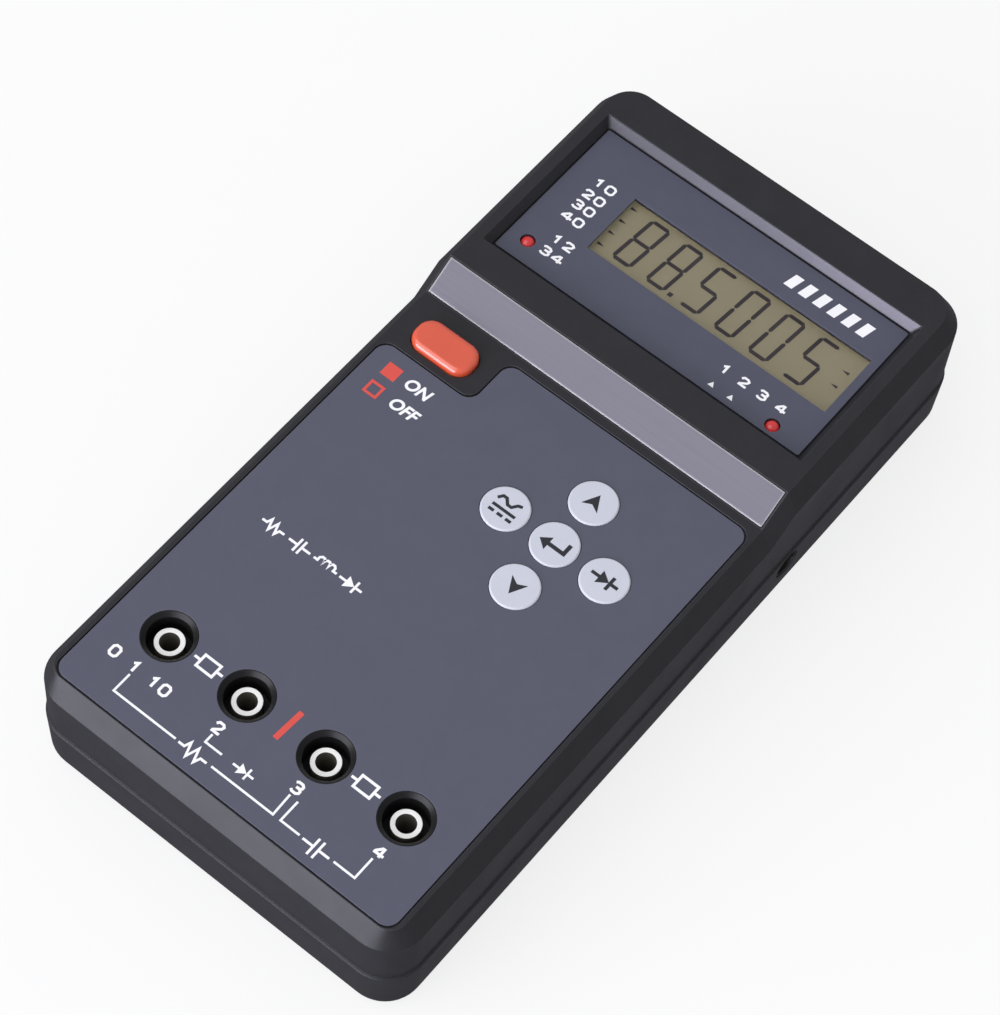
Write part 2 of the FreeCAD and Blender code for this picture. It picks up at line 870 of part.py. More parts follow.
def battery_bay():
    """Battery bay: walls, ceiling with ribs between the cells, and the flange that guides the door."""
    guide = floor_top + size.flange_thick
    shell = block(
        "bay_shell",
        both(bay_half_width + size.bay_wall),
        widened((bay_front, bay_rear), size.bay_wall),
        (floor_top, bay_top),
    )
    flange = block(
        "bay_flange",
        both(tongue_reach + size.door_gap + size.bay_wall),
        (door_front - size.bay_wall, lip_inside - size.door_gap * 2),
        (floor_top, guide),
    )
    space = block("bay_space", both(bay_half_width), (bay_front, bay_rear), (base, bay_ceiling))
    hollow = cut("bay_hollow", fuse("bay_solid", shell, flange), space)
    ribs = []
    for number, row in enumerate(cell_rows[1:]):
        along = span(row - size.cell_pitch / 2, size.rib_width / 2)
        level = (bay_ceiling - size.rib_height, bay_ceiling + size.bay_roof / 2)
        ribs.append(block(f"bay_rib_{number}", both(contact_face - size.fit_gap), along, level))
    slots = []
    for number, row in enumerate((cell_rows[0], cell_rows[-1])):
        across = (contact_face - size.fit_gap, bay_half_width + size.fit_gap)
        along = span(row, size.contact_tail / 2 + size.fit_gap)
        slots.append(block(f"tail_slot_{number}", across, along, (bay_ceiling - OVERCUT, bay_top + OVERCUT)))
    return cut("battery_bay", fuse("bay_ribbed", hollow, *ribs), *slots)


def door_pieces(name, gap):
    """Door skin, tongues and end lip, grown by a gap to cut the opening that they run in."""
    skin = both(door_half_width + gap)
    along = (door_front - gap, case_rear + OVERCUT)
    lip_along = (lip_inside - gap, case_rear + OVERCUT)
    under = base - OVERCUT
    top = door_top + gap
    return [
        block(f"{name}_skin", skin, along, (under, top)),
        block(f"{name}_tongues", both(tongue_reach + gap), along, (door_top - size.tongue_thick - gap, top)),
        block(f"{name}_lip", skin, lip_along, (under, base + size.lip_height + gap)),
    ]


def make_rear_housing(outside):
    """Lower shell with locating rim, screw columns, battery bay, inlet shelf and openings."""
    shelf = block(
        "inlet_shelf",
        (inlet_across[0], half_width - size.wall),
        inlet_along,
        (floor_top - size.base_floor / 2, inlet_level[0]),
    )
    solids = [cut("lower_shell", outside, lower_cavity()), locating_rim(), battery_bay(), shelf]
    notch_along = widened(inlet_along, size.fit_gap)
    inlet_hole = (inlet_front - OVERCUT, half_width + OVERCUT)
    cuts = [
        *door_pieces("door_opening", size.door_gap),
        parting_groove(),
        block("inlet_notch", inlet_across, notch_along, (inlet_level[0], rim_top + OVERCUT)),
        cross_rod("inlet_hole", inlet_hole, inlet_place, size.inlet_nose_radius + size.inlet_gap),
    ]
    clear = size.case_screw_radius + size.screw_gap
    for number, middle in enumerate(case_screw_places):
        column = (base + size.base_floor / 2, mate_level)
        solids.append(rod(f"column_{number}", middle, column, size.column_radius))
        counterbore = (base - OVERCUT, size.screw_seat)
        cuts.append(rod(f"counterbore_{number}", middle, counterbore, size.counterbore_radius))
        cuts.append(rod(f"screw_hole_{number}", middle, (base, mate_level + OVERCUT), clear))
    for number, middle in enumerate(foot_places):
        recess = (base - OVERCUT, base + size.foot_sunk)
        cuts.append(rod(f"foot_recess_{number}", middle, recess, size.foot_radius + size.fit_gap))
    node("rear_housing", cut("rear_housing", fuse("rear_solids", *solids), *cuts))


def make_battery_door(outside):
    """Sliding door, its outside taken from the lower shell's own form, with finger grooves."""
    form = common("door_form", outside, fuse("door_solid", *door_pieces("door", nothing)))
    grooves = []
    for number in range(GRIP_COUNT):
        middle = case_rear - size.grip_from_rear - size.grip_pitch * number
        along = span(middle, size.grip_groove / 2)
        level = (base - OVERCUT, base + size.grip_depth)
        grooves.append(block(f"grip_{number}", both(size.grip_width / 2), along, level))
    node("battery_door", cut("battery_door", form, *grooves))


# Panels and trim


def make_keypad_panel():
    """Inlaid panel of the lower deck with holes for the sockets and keys."""
    body = plate("keypad_plate", panel_outline(nothing), (panel_seat, deck), size.panel_corner)
    through = (panel_seat - OVERCUT, deck + OVERCUT)
    jack_hole = size.jack_flange_radius + size.jack_gap
    key_hole = size.key_radius + size.key_gap
    holes = [
        rod(f"panel_jack_{number}", middle, through, jack_hole)
        for number, middle in enumerate(jack_places)
    ]
    holes += [rod(f"panel_key_{side}", middle, through, key_hole) for side, middle in key_places.items()]
    node("keypad_panel", cut("keypad_panel", body, *holes))


def make_trim_strip():
    """Silver strip let into the ramp."""
    depths = (size.strip_sunk - size.strip_thick, size.strip_sunk)
    node("trim_strip", ramp_layer("trim_strip", depths, size.strip_margin, strip_half_width))


def make_display():
    """Sunk panel, clear window, display glass with its frame and rubber connectors."""
    outline = rectangle(both(display_half_width), display_along)
    body = plate("display_plate", outline, (display_seat, display_top), size.display_corner)
    through = (display_seat - OVERCUT, display_top + OVERCUT)
    holes = [block("display_view", *around_view(nothing), through)]
    for side, middle in led_places.items():
        holes.append(rod(f"display_led_{side}", middle, through, size.led_radius + size.led_gap))
    node("display_panel", cut("display_panel", body, *holes))
    window = rectangle(*around_view(size.window_lap))
    window_level = (display_seat - size.window_thick, display_seat)
    node("display_window", plate("display_window", window, window_level, size.display_corner))
    glass_under = tub_under - size.glass_thick
    node("lcd_glass", block("lcd_glass", *around_view(size.glass_lap), (glass_under, tub_under)))
    make_display_frame(glass_under)


def make_display_frame(glass_under):
    """Frame that holds the display glass to the tub, and the two rubber connectors below it."""
    room = size.glass_lap + size.frame_gap
    outer = around_view(room + size.frame_wall)
    across, along = around_view(room)
    ledge = size.frame_gap + size.frame_ledge
    well_across = widened(across, -ledge)
    shell = block("frame_shell", *outer, (board_top, tub_under))
    pocket = block("frame_pocket", across, along, (glass_under, tub_under + OVERCUT))
    well = block("frame_well", well_across, along, (board_top - OVERCUT, glass_under))
    node("lcd_frame", cut("lcd_frame", shell, pocket, well))
    _, glass_along = around_view(size.glass_lap)
    strip_across = widened(well_across, -size.frame_gap)
    strip_level = (board_top, glass_under)
    front = (glass_along[0], glass_along[0] + size.zebra_width)
    rear = (glass_along[1] - size.zebra_width, glass_along[1])
    strips = [
        block("zebra_front", strip_across, front, strip_level),
        block("zebra_rear", strip_across, rear, strip_level),
    ]
    node("zebra_strips", group("zebra_strips", strips))


def make_led(side):
    """Round lamp with a domed tip, flange and two leads down to the board."""
    middle = led_places[side]
    neck = display_top + size.led_proud - size.led_radius
    flange_low = tub_under - size.led_flange_thick
    dome = doc.addObject("Part::Sphere", f"led_{side}_dome")
    bind(dome, "Radius", size.led_radius)
    place(dome, *middle, neck)
    pieces = [
        dome,
        rod(f"led_{side}_stem", middle, (flange_low, neck), size.led_radius),
        rod(f"led_{side}_flange", middle, (flange_low, tub_under), size.led_radius + size.led_flange),
    ]
    half_lead = size.led_lead / 2
    lead_level = (board_top, tub_under - size.led_flange_thick / 2)
    for number, sign in enumerate(SIDES):
        across = span(middle[0] + size.led_lead_pitch / 2 * sign, half_lead)
        pieces.append(block(f"led_{side}_lead_{number}", across, span(middle[1], half_lead), lead_level))
    node(f"led_{side}", fuse(f"led_{side}", *pieces))


# Buttons and the switches under them


def make_switch(name, middle, width, height, well_depth):
    """Square switch on the board with a round well that takes the stem above it."""
    top = board_top + height
    case = block(f"{name}_case", span(middle[0], width / 2), span(middle[1], width / 2), (board_top, top))
    well = rod(f"{name}_well", middle, (top - well_depth, top + OVERCUT), size.stem_radius + size.screw_gap)
    node(name, cut(name, case, well))


def make_key(side):
    """Round key with a retaining flange and a stem that works the switch below it."""
    middle = key_places[side]
    top = deck + size.key_proud
    flange_low = flange_top - size.key_flange_thick
    stem_low = board_top + size.switch_height - size.stem_entry
    flange = size.key_radius + size.key_flange
    profile = [
        (nothing, top),
        (size.key_radius - size.key_edge, top),
        (size.key_radius, top - size.key_edge),
        (size.key_radius, flange_top),
        (flange, flange_top),
        (flange, flange_low),
        (size.stem_radius, flange_low),
        (size.stem_radius, stem_low),
        (nothing, stem_low),
    ]
    node(f"key_{side}", turned(f"key_{side}", profile, *middle))
    make_switch(f"key_switch_{side}", middle, size.switch_width, size.switch_height, size.switch_well)


def make_power_button():
    """Crowned red button with its flange, plunger and switch."""
    top = deck + size.button_proud
    flange_low = flange_top - size.button_flange_thick
    cap = button_outline("button_cap", nothing, (flange_top, top))
    soften(cap, "button_crown_edge", size.button_crown, lies_at(top - flange_top))
    flange = button_outline("button_flange", size.button_flange, (flange_low, flange_top))
    node("power_button", fuse("power_button", cap, flange))
    stem_low = board_top + size.power_height - size.power_entry
    node("power_plunger", rod("power_plunger", button_place, (stem_low, flange_low), size.stem_radius))
    make_switch("power_switch", button_place, size.power_width, size.power_height, size.power_well)


# Sockets


def shroud_profile():
    """Insulating shroud: a flange in the panel, a barrel through the deck and a deep open well."""
    mouth = deck - size.jack_mouth_depth
    well_floor = deck - size.jack_well_depth
    barrel_low = well_floor - size.jack_floor
    core = size.sleeve_radius + size.screw_gap
    return [
        (size.jack_flange_radius - size.jack_gap, deck),
        (size.jack_flange_radius, deck - size.jack_gap),
        (size.jack_flange_radius, panel_seat),
        (size.jack_barrel_radius, panel_seat),
        (size.jack_barrel_radius, barrel_low),
        (core, barrel_low),
        (core, well_floor),
        (size.jack_well_radius, well_floor),
        (size.jack_well_radius, mouth),
    ]


def sleeve_profile():
    """Metal sleeve, bored from its top for a plug."""
    top = deck - size.sleeve_sunk
    low = top - size.sleeve_length
    socket_floor = top - size.socket_depth
    return [
        (size.socket_radius, top),
        (size.sleeve_radius, top),
        (size.sleeve_radius, low),
        (nothing, low),
        (nothing, socket_floor),
        (size.socket_radius, socket_floor),
    ]


def make_nut(name, middle):
    """Hexagon nut that holds a shroud to the deck."""
    low = deck_under - size.nut_height
    hexagon = doc.addObject("Part::Prism", f"{name}_hexagon")
    hexagon.Polygon = NUT_SIDE_COUNT
    bind(hexagon, "Circumradius", size.nut_radius)
    bind(hexagon, "Height", size.nut_height)
    place(hexagon, *middle, low)
    bore = size.jack_barrel_radius + size.screw_gap
    return cut(name, hexagon, rod(f"{name}_bore", middle, (low - OVERCUT, deck), bore))


def make_jacks():
    """Four shrouded sockets, each a shroud, a sleeve and a nut."""
    for number, middle in enumerate(jack_places, start=1):
        shroud = f"jack_insulator_{number}"
        sleeve = f"jack_sleeve_{number}"
        node(shroud, turned(shroud, shroud_profile(), *middle))
        node(sleeve, turned(sleeve, sleeve_profile(), *middle))
    nuts = [make_nut(f"jack_nut_{number}", middle) for number, middle in enumerate(jack_places)]
    node("jack_nuts", group("jack_nuts", nuts))


# Board and what it carries


def make_board():
    """Circuit board, notched at the corners for the case bosses and drilled for sockets and screws."""
    side = inner_half_width - size.board_side_gap
    end = upper_rear - size.wall - size.board_end_gap
    notch_x = screw_x - size.board_notch
    notch_y = screw_y - size.board_notch
    outline = []
    for a, b in CORNERS:
        corner = [(side * a, notch_y * b), (notch_x * a, notch_y * b), (notch_x * a, end * b)]
        outline.extend(corner if a * b > 0 else corner[::-1])
    body = plate("board_plate", outline, (board_under, board_top))
    through = (board_under - OVERCUT, board_top + OVERCUT)
    jack_hole = size.sleeve_radius + size.screw_gap
    screw_hole = size.board_screw_radius + size.screw_gap
    holes = [
        rod(f"board_jack_{number}", middle, through, jack_hole)
        for number, middle in enumerate(jack_places)
    ]
    holes += [
        rod(f"board_hole_{number}", middle, through, screw_hole)
        for number, middle in enumerate(board_screw_places)
    ]
    node("main_board", cut("main_board", body, *holes))


def make_screws(name, places, seat, shank, screw_head):
    """Group of equal screws driven upwards, each with a slotted head below its seat."""
    radius, length = shank
    head_radius, head_height = screw_head
    low = seat - head_height
    profile = [
        (nothing, low),
        (head_radius, low),
        (head_radius, seat),
        (radius, seat),
        (radius, seat + length),
        (nothing, seat + length),
    ]
    screws = []
    for number, (x, y) in enumerate(places):
        blank = turned(f"{name}_blank_{number}", profile, x, y)
        slot_level = (low - OVERCUT, low + size.slot_depth)
        slot = block(f"{name}_slot_{number}", span(x, head_radius), span(y, size.slot_width / 2), slot_level)
        screws.append(cut(f"{name}_{number}", blank, slot))
    node(name, group(name, screws))


def make_fuse():
    """Glass fuse across the board in two spring clips."""
    y = jack_y + size.fuse_from_jacks
    level = board_top + size.fuse_lift + size.fuse_radius
    half = size.fuse_length / 2
    cap = half - size.fuse_cap
    profile = [
        (nothing, -half),
        (size.fuse_radius, -half),
        (size.fuse_radius, -cap),
        (size.fuse_waist, -cap),
        (size.fuse_waist, cap),
        (size.fuse_radius, cap),
        (size.fuse_radius, half),
        (nothing, half),
    ]
    node("fuse", turned("fuse", profile, size.fuse_x, y, level, Rotation(Vector(0, 1, 0), 90)))
    clips = []
    for number, sign in enumerate(SIDES):
        middle = size.fuse_x + (half - size.fuse_cap / 2) * sign
        across = span(middle, size.clip_length / 2)
        through = span(middle, size.clip_length)
        seat = size.fuse_radius + size.screw_gap
        outside = span(y, seat + size.clip_thick)
        mouth = span(y, size.clip_mouth / 2)
        clips.append(
            cut(
                f"fuse_clip_{number}",
                block(f"clip_{number}_case", across, outside, (board_top, board_top + size.clip_height)),
                cross_rod(f"clip_{number}_seat", through, (y, level), seat),
                block(f"clip_{number}_mouth", through, mouth, (level, level + size.clip_height)),
            )
        )
    node("fuse_clips", group("fuse_clips", clips))


def make_components():
    """Processor, amplifiers and smoothing capacitors on the board."""
    half = size.processor_width / 2
    chip = rectangle(span(size.processor_x, half), span(jack_y + size.processor_from_jacks, half))
    chip_level = (board_top, board_top + size.processor_height)
    node("processor_chip", plate("processor_chip", chip, chip_level, size.processor_corner))
    along = span(jack_y + size.amplifier_from_jacks, size.amplifier_length / 2)
    level = (board_top, board_top + size.amplifier_height)
    amplifiers = []
    for number in range(AMPLIFIER_COUNT):
        across = span(size.amplifier_x + size.amplifier_pitch * number, size.amplifier_width / 2)
        amplifiers.append(block(f"amplifier_{number}", across, along, level))
    node("amplifier_chips", group("amplifier_chips", amplifiers))
    can = (board_top, board_top + size.capacitor_height)
    capacitors = []
    for number in range(CAPACITOR_COUNT):
        row = jack_y + size.capacitor_from_jacks + size.capacitor_pitch * number
        middle = (size.capacitor_x, row)
        capacitors.append(rod(f"capacitor_{number}", middle, can, size.capacitor_radius))
    node("capacitors", group("capacitors", capacitors))


# Supply


def make_cells():
    """Cells side by side, turned end for end by turns."""
    half = size.cell_length / 2
    shoulder = half - size.nub_length
    profile = [
        (nothing, -half),
        (size.cell_radius, -half),
        (size.cell_radius, shoulder),
        (size.nub_radius, shoulder),
        (size.nub_radius, half),
        (nothing, half),
    ]
    for number, row in enumerate(cell_rows):
        turn = Rotation(Vector(0, 1, 0), -90 if number % 2 else 90)
        name = f"battery_cell_{number + 1}"
        node(name, turned(name, profile, nothing, row, cell_level, turn))


def make_contact(name, side, rows, has_tail=False):
    """Contact plate on the bay wall, with a sprung dimple for each cell that it joins."""
    across = (contact_face, bay_half_width) if side > 0 else (-bay_half_width, -contact_face)
    reach = size.cell_radius - size.contact_margin
    along = (rows[0] - reach, rows[-1] + reach)
    pieces = [block(f"{name}_plate", across, along, span(cell_level, reach))]
    for number, row in enumerate(rows):
        dimple = doc.addObject("Part::Cone", f"{name}_dimple_{number}")
        bind(dimple, "Radius1", size.dimple_base)
        bind(dimple, "Radius2", size.dimple_tip)
        bind(dimple, "Height", size.contact_spring)
        place(dimple, contact_face * side, row, cell_level, Rotation(Vector(0, 1, 0), -90 * side))
        pieces.append(dimple)
    if has_tail:
        tail = span(rows[0], size.contact_tail / 2)
        pieces.append(block(f"{name}_tail", across, tail, (cell_level, board_under)))
    return fuse(name, *pieces)


def make_contacts():
    """Contacts that put the cells in series, with two tails to the board."""
    pairs = [cell_rows[first : first + 2] for first in range(0, CELL_COUNT, 2)]
    left = [make_contact(f"contact_left_{number}", -1, pair) for number, pair in enumerate(pairs)]
    node("battery_contacts_left", group("battery_contacts_left", left))
    right = [
        make_contact("contact_right_first", 1, cell_rows[:1], has_tail=True),
        make_contact("contact_right_middle", 1, cell_rows[1:-1]),
        make_contact("contact_right_last", 1, cell_rows[-1:], has_tail=True),
    ]
    node("battery_contacts_right", group("battery_contacts_right", right))


def make_inlet():
    """Adapter inlet on its shelf, with a round nose in the side wall, centre pin and solder lugs."""
    mouth = half_width - size.base_draft
    bore_floor = mouth - size.inlet_bore_depth
    case = block("inlet_case", inlet_across, inlet_along, inlet_level)
    nose = cross_rod("inlet_nose", (inlet_across[0], mouth), inlet_place, size.inlet_nose_radius)
    bore = cross_rod("inlet_bore", (bore_floor, half_width), inlet_place, size.inlet_bore_radius)
    node("dc_inlet", cut("dc_inlet", fuse("inlet_solid", case, nose), bore))
    pin_across = (bore_floor, mouth - size.inlet_pin_sunk)
    node("dc_pin", cross_rod("dc_pin", pin_across, inlet_place, size.inlet_pin_radius))
    lug_across = (inlet_across[0], inlet_across[0] + size.lug_thick)
    lugs = []
    for number, sign in enumerate(SIDES):
        along = span(inlet_place[0] + size.lug_pitch / 2 * sign, size.lug_width / 2)
        lugs.append(block(f"lug_{number}", lug_across, along, (inlet_level[1], board_under)))
    node("dc_lugs", group("dc_lugs", lugs))


def make_feet():
    """Four rubber feet let into the base."""
    top = base + size.foot_sunk
    profile = [
        (nothing, nothing),
        (size.foot_radius - size.foot_chamfer, nothing),
        (size.foot_radius, size.foot_chamfer),
        (size.foot_radius, top),
        (nothing, top),
    ]
    for number, middle in enumerate(foot_places, start=1):
        node(f"foot_{number}", turned(f"foot_{number}", profile, *middle))


make_front_housing()
lower_outside = lower_form("lower_outside")
make_rear_housing(lower_outside)
make_battery_door(lower_outside)
make_keypad_panel()
make_trim_strip()
make_display()
for lamp in led_places:
    make_led(lamp)
for key in key_places:
    make_key(key)
make_power_button()
make_jacks()
make_board()
make_screws(
    "board_screws",
    board_screw_places,
    board_under,
    (size.board_screw_radius, size.board_screw_length),
    (size.board_head_radius, size.board_head_height),
)
make_screws(
    "case_screws",
    case_screw_places,
    size.screw_seat,
    (size.case_screw_radius, size.case_screw_length),
    (size.case_head_radius, size.case_head_height),
)
make_fuse()
make_components()
make_cells()
make_contacts()
make_inlet()
make_feet()

# Checks and export

doc.recompute()
for item in doc.Objects:
    if "Invalid" in item.State or "Error" in item.State:
        raise RuntimeError(f"{item.Label} did not build: {item.State}")
for item in nodes:
    if item.Shape.isNull() or not item.Shape.isValid() or not item.Shape.Solids:
        raise RuntimeError(f"{item.Label} has no valid solid")
os.makedirs("parts", exist_ok=True)
for item in nodes:
    item.Shape.exportStep(os.path.join("parts", f"{item.Label}.step"))
    print(item.Label, len(item.Shape.Solids), round(item.Shape.Volume, 1))
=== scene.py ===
# %% [markdown]
# # Dressing a hand-held component tester
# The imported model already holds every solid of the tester: two case halves, the panels, the keys, the
# sockets and the works inside. This lesson gives those solids their finishes, adds the printing and the
# display's figures, and sets up the table, the lamps and the camera. One could model the case again in
# Blender, but the solids are exact and carry the joints, so they stay as they are and only take
# materials.

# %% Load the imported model
import math

import bmesh
import bpy
from mathutils import Matrix, Vector


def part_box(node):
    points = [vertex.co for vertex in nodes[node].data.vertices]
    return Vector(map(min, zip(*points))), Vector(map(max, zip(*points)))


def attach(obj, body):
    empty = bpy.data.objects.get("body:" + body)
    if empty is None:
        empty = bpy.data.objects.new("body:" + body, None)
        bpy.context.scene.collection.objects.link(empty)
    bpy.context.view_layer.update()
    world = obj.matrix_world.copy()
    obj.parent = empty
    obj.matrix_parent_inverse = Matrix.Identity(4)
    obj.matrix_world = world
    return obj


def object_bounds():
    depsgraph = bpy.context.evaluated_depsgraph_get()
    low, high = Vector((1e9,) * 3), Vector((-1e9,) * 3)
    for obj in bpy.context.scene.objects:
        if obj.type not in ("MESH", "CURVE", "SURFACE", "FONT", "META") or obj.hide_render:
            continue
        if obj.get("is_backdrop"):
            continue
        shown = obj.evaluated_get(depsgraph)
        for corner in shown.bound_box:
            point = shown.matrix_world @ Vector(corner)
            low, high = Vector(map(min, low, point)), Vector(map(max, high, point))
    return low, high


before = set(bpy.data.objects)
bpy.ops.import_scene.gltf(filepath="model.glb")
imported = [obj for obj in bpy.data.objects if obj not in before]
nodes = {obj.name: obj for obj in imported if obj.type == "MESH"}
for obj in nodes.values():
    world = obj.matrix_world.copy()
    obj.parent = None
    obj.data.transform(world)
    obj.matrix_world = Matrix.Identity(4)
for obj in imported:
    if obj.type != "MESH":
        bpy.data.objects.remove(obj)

MM = 0.001
scene = bpy.context.scene
cad_low, cad_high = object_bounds()
print("nodes:", len(nodes), "box in mm:", [round(side / MM, 1) for side in cad_high - cad_low])

# %% [markdown]
# ## The camera
# The picture looks down on the tester from its front right corner through a long lens, a little rolled.
# The place of the eye and the angles were solved from the case corners, so they are written as plain
# numbers. A tracking constraint would be handier to drag about, but a matrix holds the roll exactly.

# %% Where the eye stands
TURN = math.radians(33.323)
TILT = math.radians(59.643)
ROLL = math.radians(6.484)
EYE = Vector((180.69, -279.96, 590.77)) * MM

towards_eye = Vector((math.sin(TURN) * math.cos(TILT), -math.cos(TURN) * math.cos(TILT), math.sin(TILT)))
level_right = Vector((math.cos(TURN), math.sin(TURN), 0))
level_up = towards_eye.cross(level_right)
picture_right = math.cos(ROLL) * level_right + math.sin(ROLL) * level_up
picture_up = math.cos(ROLL) * level_up - math.sin(ROLL) * level_right
print("eye is", round(EYE.length, 3), "m from the middle of the base")

# %% Camera
LENS_LENGTH = 121.18
NEAREST = 0.05
FARTHEST = 50

lens = bpy.data.cameras.new("bench_camera")
lens.lens = LENS_LENGTH
lens.clip_start = NEAREST
lens.clip_end = FARTHEST
camera = bpy.data.objects.new("bench_camera", lens)
picture_axes = Matrix((picture_right, picture_up, towards_eye)).transposed()
camera.matrix_world = Matrix.Translation(EYE) @ picture_axes.to_4x4()
scene.collection.objects.link(camera)
scene.camera = camera
print("camera:", camera.name, "with a lens of", round(lens.lens, 2), "mm")

# %% [markdown]
# ## Small helpers for shader nodes
# A material is a small network. Wiring it by hand takes many lines, so one helper fills a node's
# sockets, each with a plain value or with a wire from another node, and a second adds a node and sets
# its options. The nodes that come back most often get a helper of their own: a noise, a change of range
# and a mix of colours.

# %% Node helpers
def fill(node, sockets):
    """Fills sockets, by name or number, each with a value or with a wire from another socket."""
    for key, value in sockets.items():
        if isinstance(value, bpy.types.NodeSocket):
            node.id_data.links.new(value, node.inputs[key])
        else:
            node.inputs[key].default_value = value


def add(tree, kind, sockets=None, **options):
    """Adds one shader node, sets its options and fills its sockets."""
    node = tree.nodes.new("ShaderNode" + kind)
    for key, value in options.items():
        setattr(node, key, value)
    fill(node, sockets or {})
    return node


def object_place(tree):
    """Where a point of the surface lies, in metres, in the object's own space."""
    return add(tree, "TexCoord").outputs["Object"]


def noise(tree, point, scale, detail, roughness=0.5, distortion=0.0):
    """A cloudy value that changes from point to point."""
    look = {"Scale": scale, "Detail": detail, "Roughness": roughness, "Distortion": distortion}
    return add(tree, "TexNoise", {"Vector": point, **look}).outputs["Fac"]


def remap(tree, value, start, end, first, last):
    """Carries a value from the range start to end over to the range first to last."""
    return add(tree, "MapRange", {0: value, 1: start, 2: end, 3: first, 4: last}).outputs[0]


print("helpers:", [tool.__name__ for tool in (fill, add, object_place, noise, remap)])

# %% [markdown]
# A colour socket wants four numbers, the last of which is how solid the colour is. Finishes are easier
# to read with three, so the fourth is added on the way in. A colour that comes by wire passes as it is.

# %% Colour helpers
def grey(value):
    """A neutral colour."""
    return (value, value, value)


def opaque(colour):
    """A colour of three numbers with the fourth that a socket wants, or a wire as it is."""
    return colour if isinstance(colour, bpy.types.NodeSocket) else (*colour, 1)


def mixed(tree, share, first, second):
    """Mixes two colours by a share that goes from 0, all first, to 1, all second."""
    sockets = {0: share, 6: opaque(first), 7: opaque(second)}
    return add(tree, "Mix", sockets, data_type="RGBA").outputs[2]


print("a middle grey for a socket:", opaque(grey(0.5)))

# %% [markdown]
# ## Effects that many finishes share
# The grain, the rounded edges and the handling marks serve many finishes, so each is a node group with
# named sockets. It is built once, and each material places it with its own values.

# %% Opening and placing a group
def effect(name, inputs, outputs):
    """Opens a node group: inputs are numbers with a default, and outputs are named with their kind."""
    group = bpy.data.node_groups.new(name, "ShaderNodeTree")
    for label, value in inputs.items():
        socket = group.interface.new_socket(label, in_out="INPUT", socket_type="NodeSocketFloat")
        socket.default_value = value
    for label, kind in outputs.items():
        group.interface.new_socket(label, in_out="OUTPUT", socket_type="NodeSocket" + kind)
    return group, group.nodes.new("NodeGroupInput").outputs, group.nodes.new("NodeGroupOutput")


def place(tree, group, **values):
    """Puts a node group into a material, sets its inputs and gives its outputs."""
    return add(tree, "Group", values, node_tree=group).outputs


print("node groups so far:", len(bpy.data.node_groups))

# %% [markdown]
# Moulded plastic copies the spark-eroded skin of its steel tool: a fine, even pebble that breaks up
# highlights. Noise in object space gives that at a true size, with no unwrapping, because the solids
# keep their real places. One output is the height for a bump, and the other a slow fleck that keeps the
# colour from being flat.

# %% Moulded grain
FLECKS_PER_METRE = 160.0

grain, given, result = effect("moulded_grain", {"Per_metre": 3000}, {"Height": "Float", "Fleck": "Float"})
where = object_place(grain)
pebble = noise(grain, where, given["Per_metre"], detail=2.0, roughness=0.55)
cloud = noise(grain, where, FLECKS_PER_METRE, detail=5.0, roughness=0.7)
fill(result, {"Height": pebble, "Fleck": cloud})
print("effect:", grain.name)

# %% [markdown]
# A handled surface never has one gloss all over. This effect spreads the roughness between two limits
# with a slow noise, a few centimetres across, the way skin oil and wiping leave it.

# %% Handling marks
SMEARS_PER_METRE = 45.0

handling, given, result = effect("handling_marks", {"Smooth": 0.4, "Dull": 0.55}, {"Roughness": "Float"})
smear = noise(handling, object_place(handling), SMEARS_PER_METRE, detail=4.0, roughness=0.6, distortion=0.6)
fill(result, {"Roughness": remap(handling, smear, 0.3, 0.7, given["Smooth"], given["Dull"])})
print("effect:", handling.name)

# %% [markdown]
# No moulded or stamped edge is perfectly sharp. A bevel modifier would round it, but the solids come as
# fine triangles that bevel badly. The Bevel node rounds the shading instead, over a true radius. Where
# the rounded normal leaves the flat one there is an edge, and that difference is also the mask for the
# edge colour: wear, and a painted sheen where edges catch the light.

# %% Rounded edges, edge wear and painted edge sheen
FLAT_LIKENESS = 0.99
WEAR_AND_SHEEN_LIKENESS = 0.8

rounded, given, result = effect("rounded_edge", {"Radius": 0.3 * MM}, {"Normal": "Vector", "Edge": "Float"})
soft_normal = add(rounded, "Bevel", {"Radius": given["Radius"]}, samples=6).outputs["Normal"]
flat_normal = add(rounded, "NewGeometry").outputs["Normal"]
likeness = add(rounded, "VectorMath", {0: soft_normal, 1: flat_normal}, operation="DOT_PRODUCT")
# The edge mask carries wear and painted sheen: a lighter edge colour stands in for highlights.
wear_and_sheen = remap(rounded, likeness.outputs["Value"], FLAT_LIKENESS, WEAR_AND_SHEEN_LIKENESS, 0.0, 1.0)
fill(result, {"Normal": soft_normal, "Edge": wear_and_sheen})
print("effect:", rounded.name)

# %% [markdown]
# Rolled and drawn metal shows fine parallel lines. Stretching a noise along one axis gives them, and
# the same group serves the silver strip, the socket metal and the springs, for their colour and for
# their relief.

# %% Drawn lines
drawn, given, result = effect("drawn_lines", {"Across": 2600, "Along": 30}, {"Streak": "Float"})
squeeze = add(drawn, "CombineXYZ", {0: given["Along"], 1: given["Across"], 2: given["Across"]}).outputs[0]
stretched = add(drawn, "VectorMath", {0: object_place(drawn), 1: squeeze}, operation="MULTIPLY").outputs[0]
fill(result, {"Streak": noise(drawn, stretched, 1.0, detail=3.0, roughness=0.6)})
print("effect:", drawn.name)

# %% [markdown]
# ## Plastics and paints
# Nearly every surface here is a dense plastic or a satin print, so one recipe serves: two close colours
# mixed by the fleck, a third on the edges, roughness from the handling marks and a bump from the grain
# over the rounded normal. What differs between the pieces is only the numbers.

# %% The common recipe
GRAIN_DEPTH = 0.1 * MM
finishes = {}


def blank(slot):
    """A new material for one slot of the record; gives its main shader."""
    material = bpy.data.materials.new(slot + "_finish")
    material.use_nodes = True
    finishes[slot] = material
    return material.node_tree.nodes["Principled BSDF"]


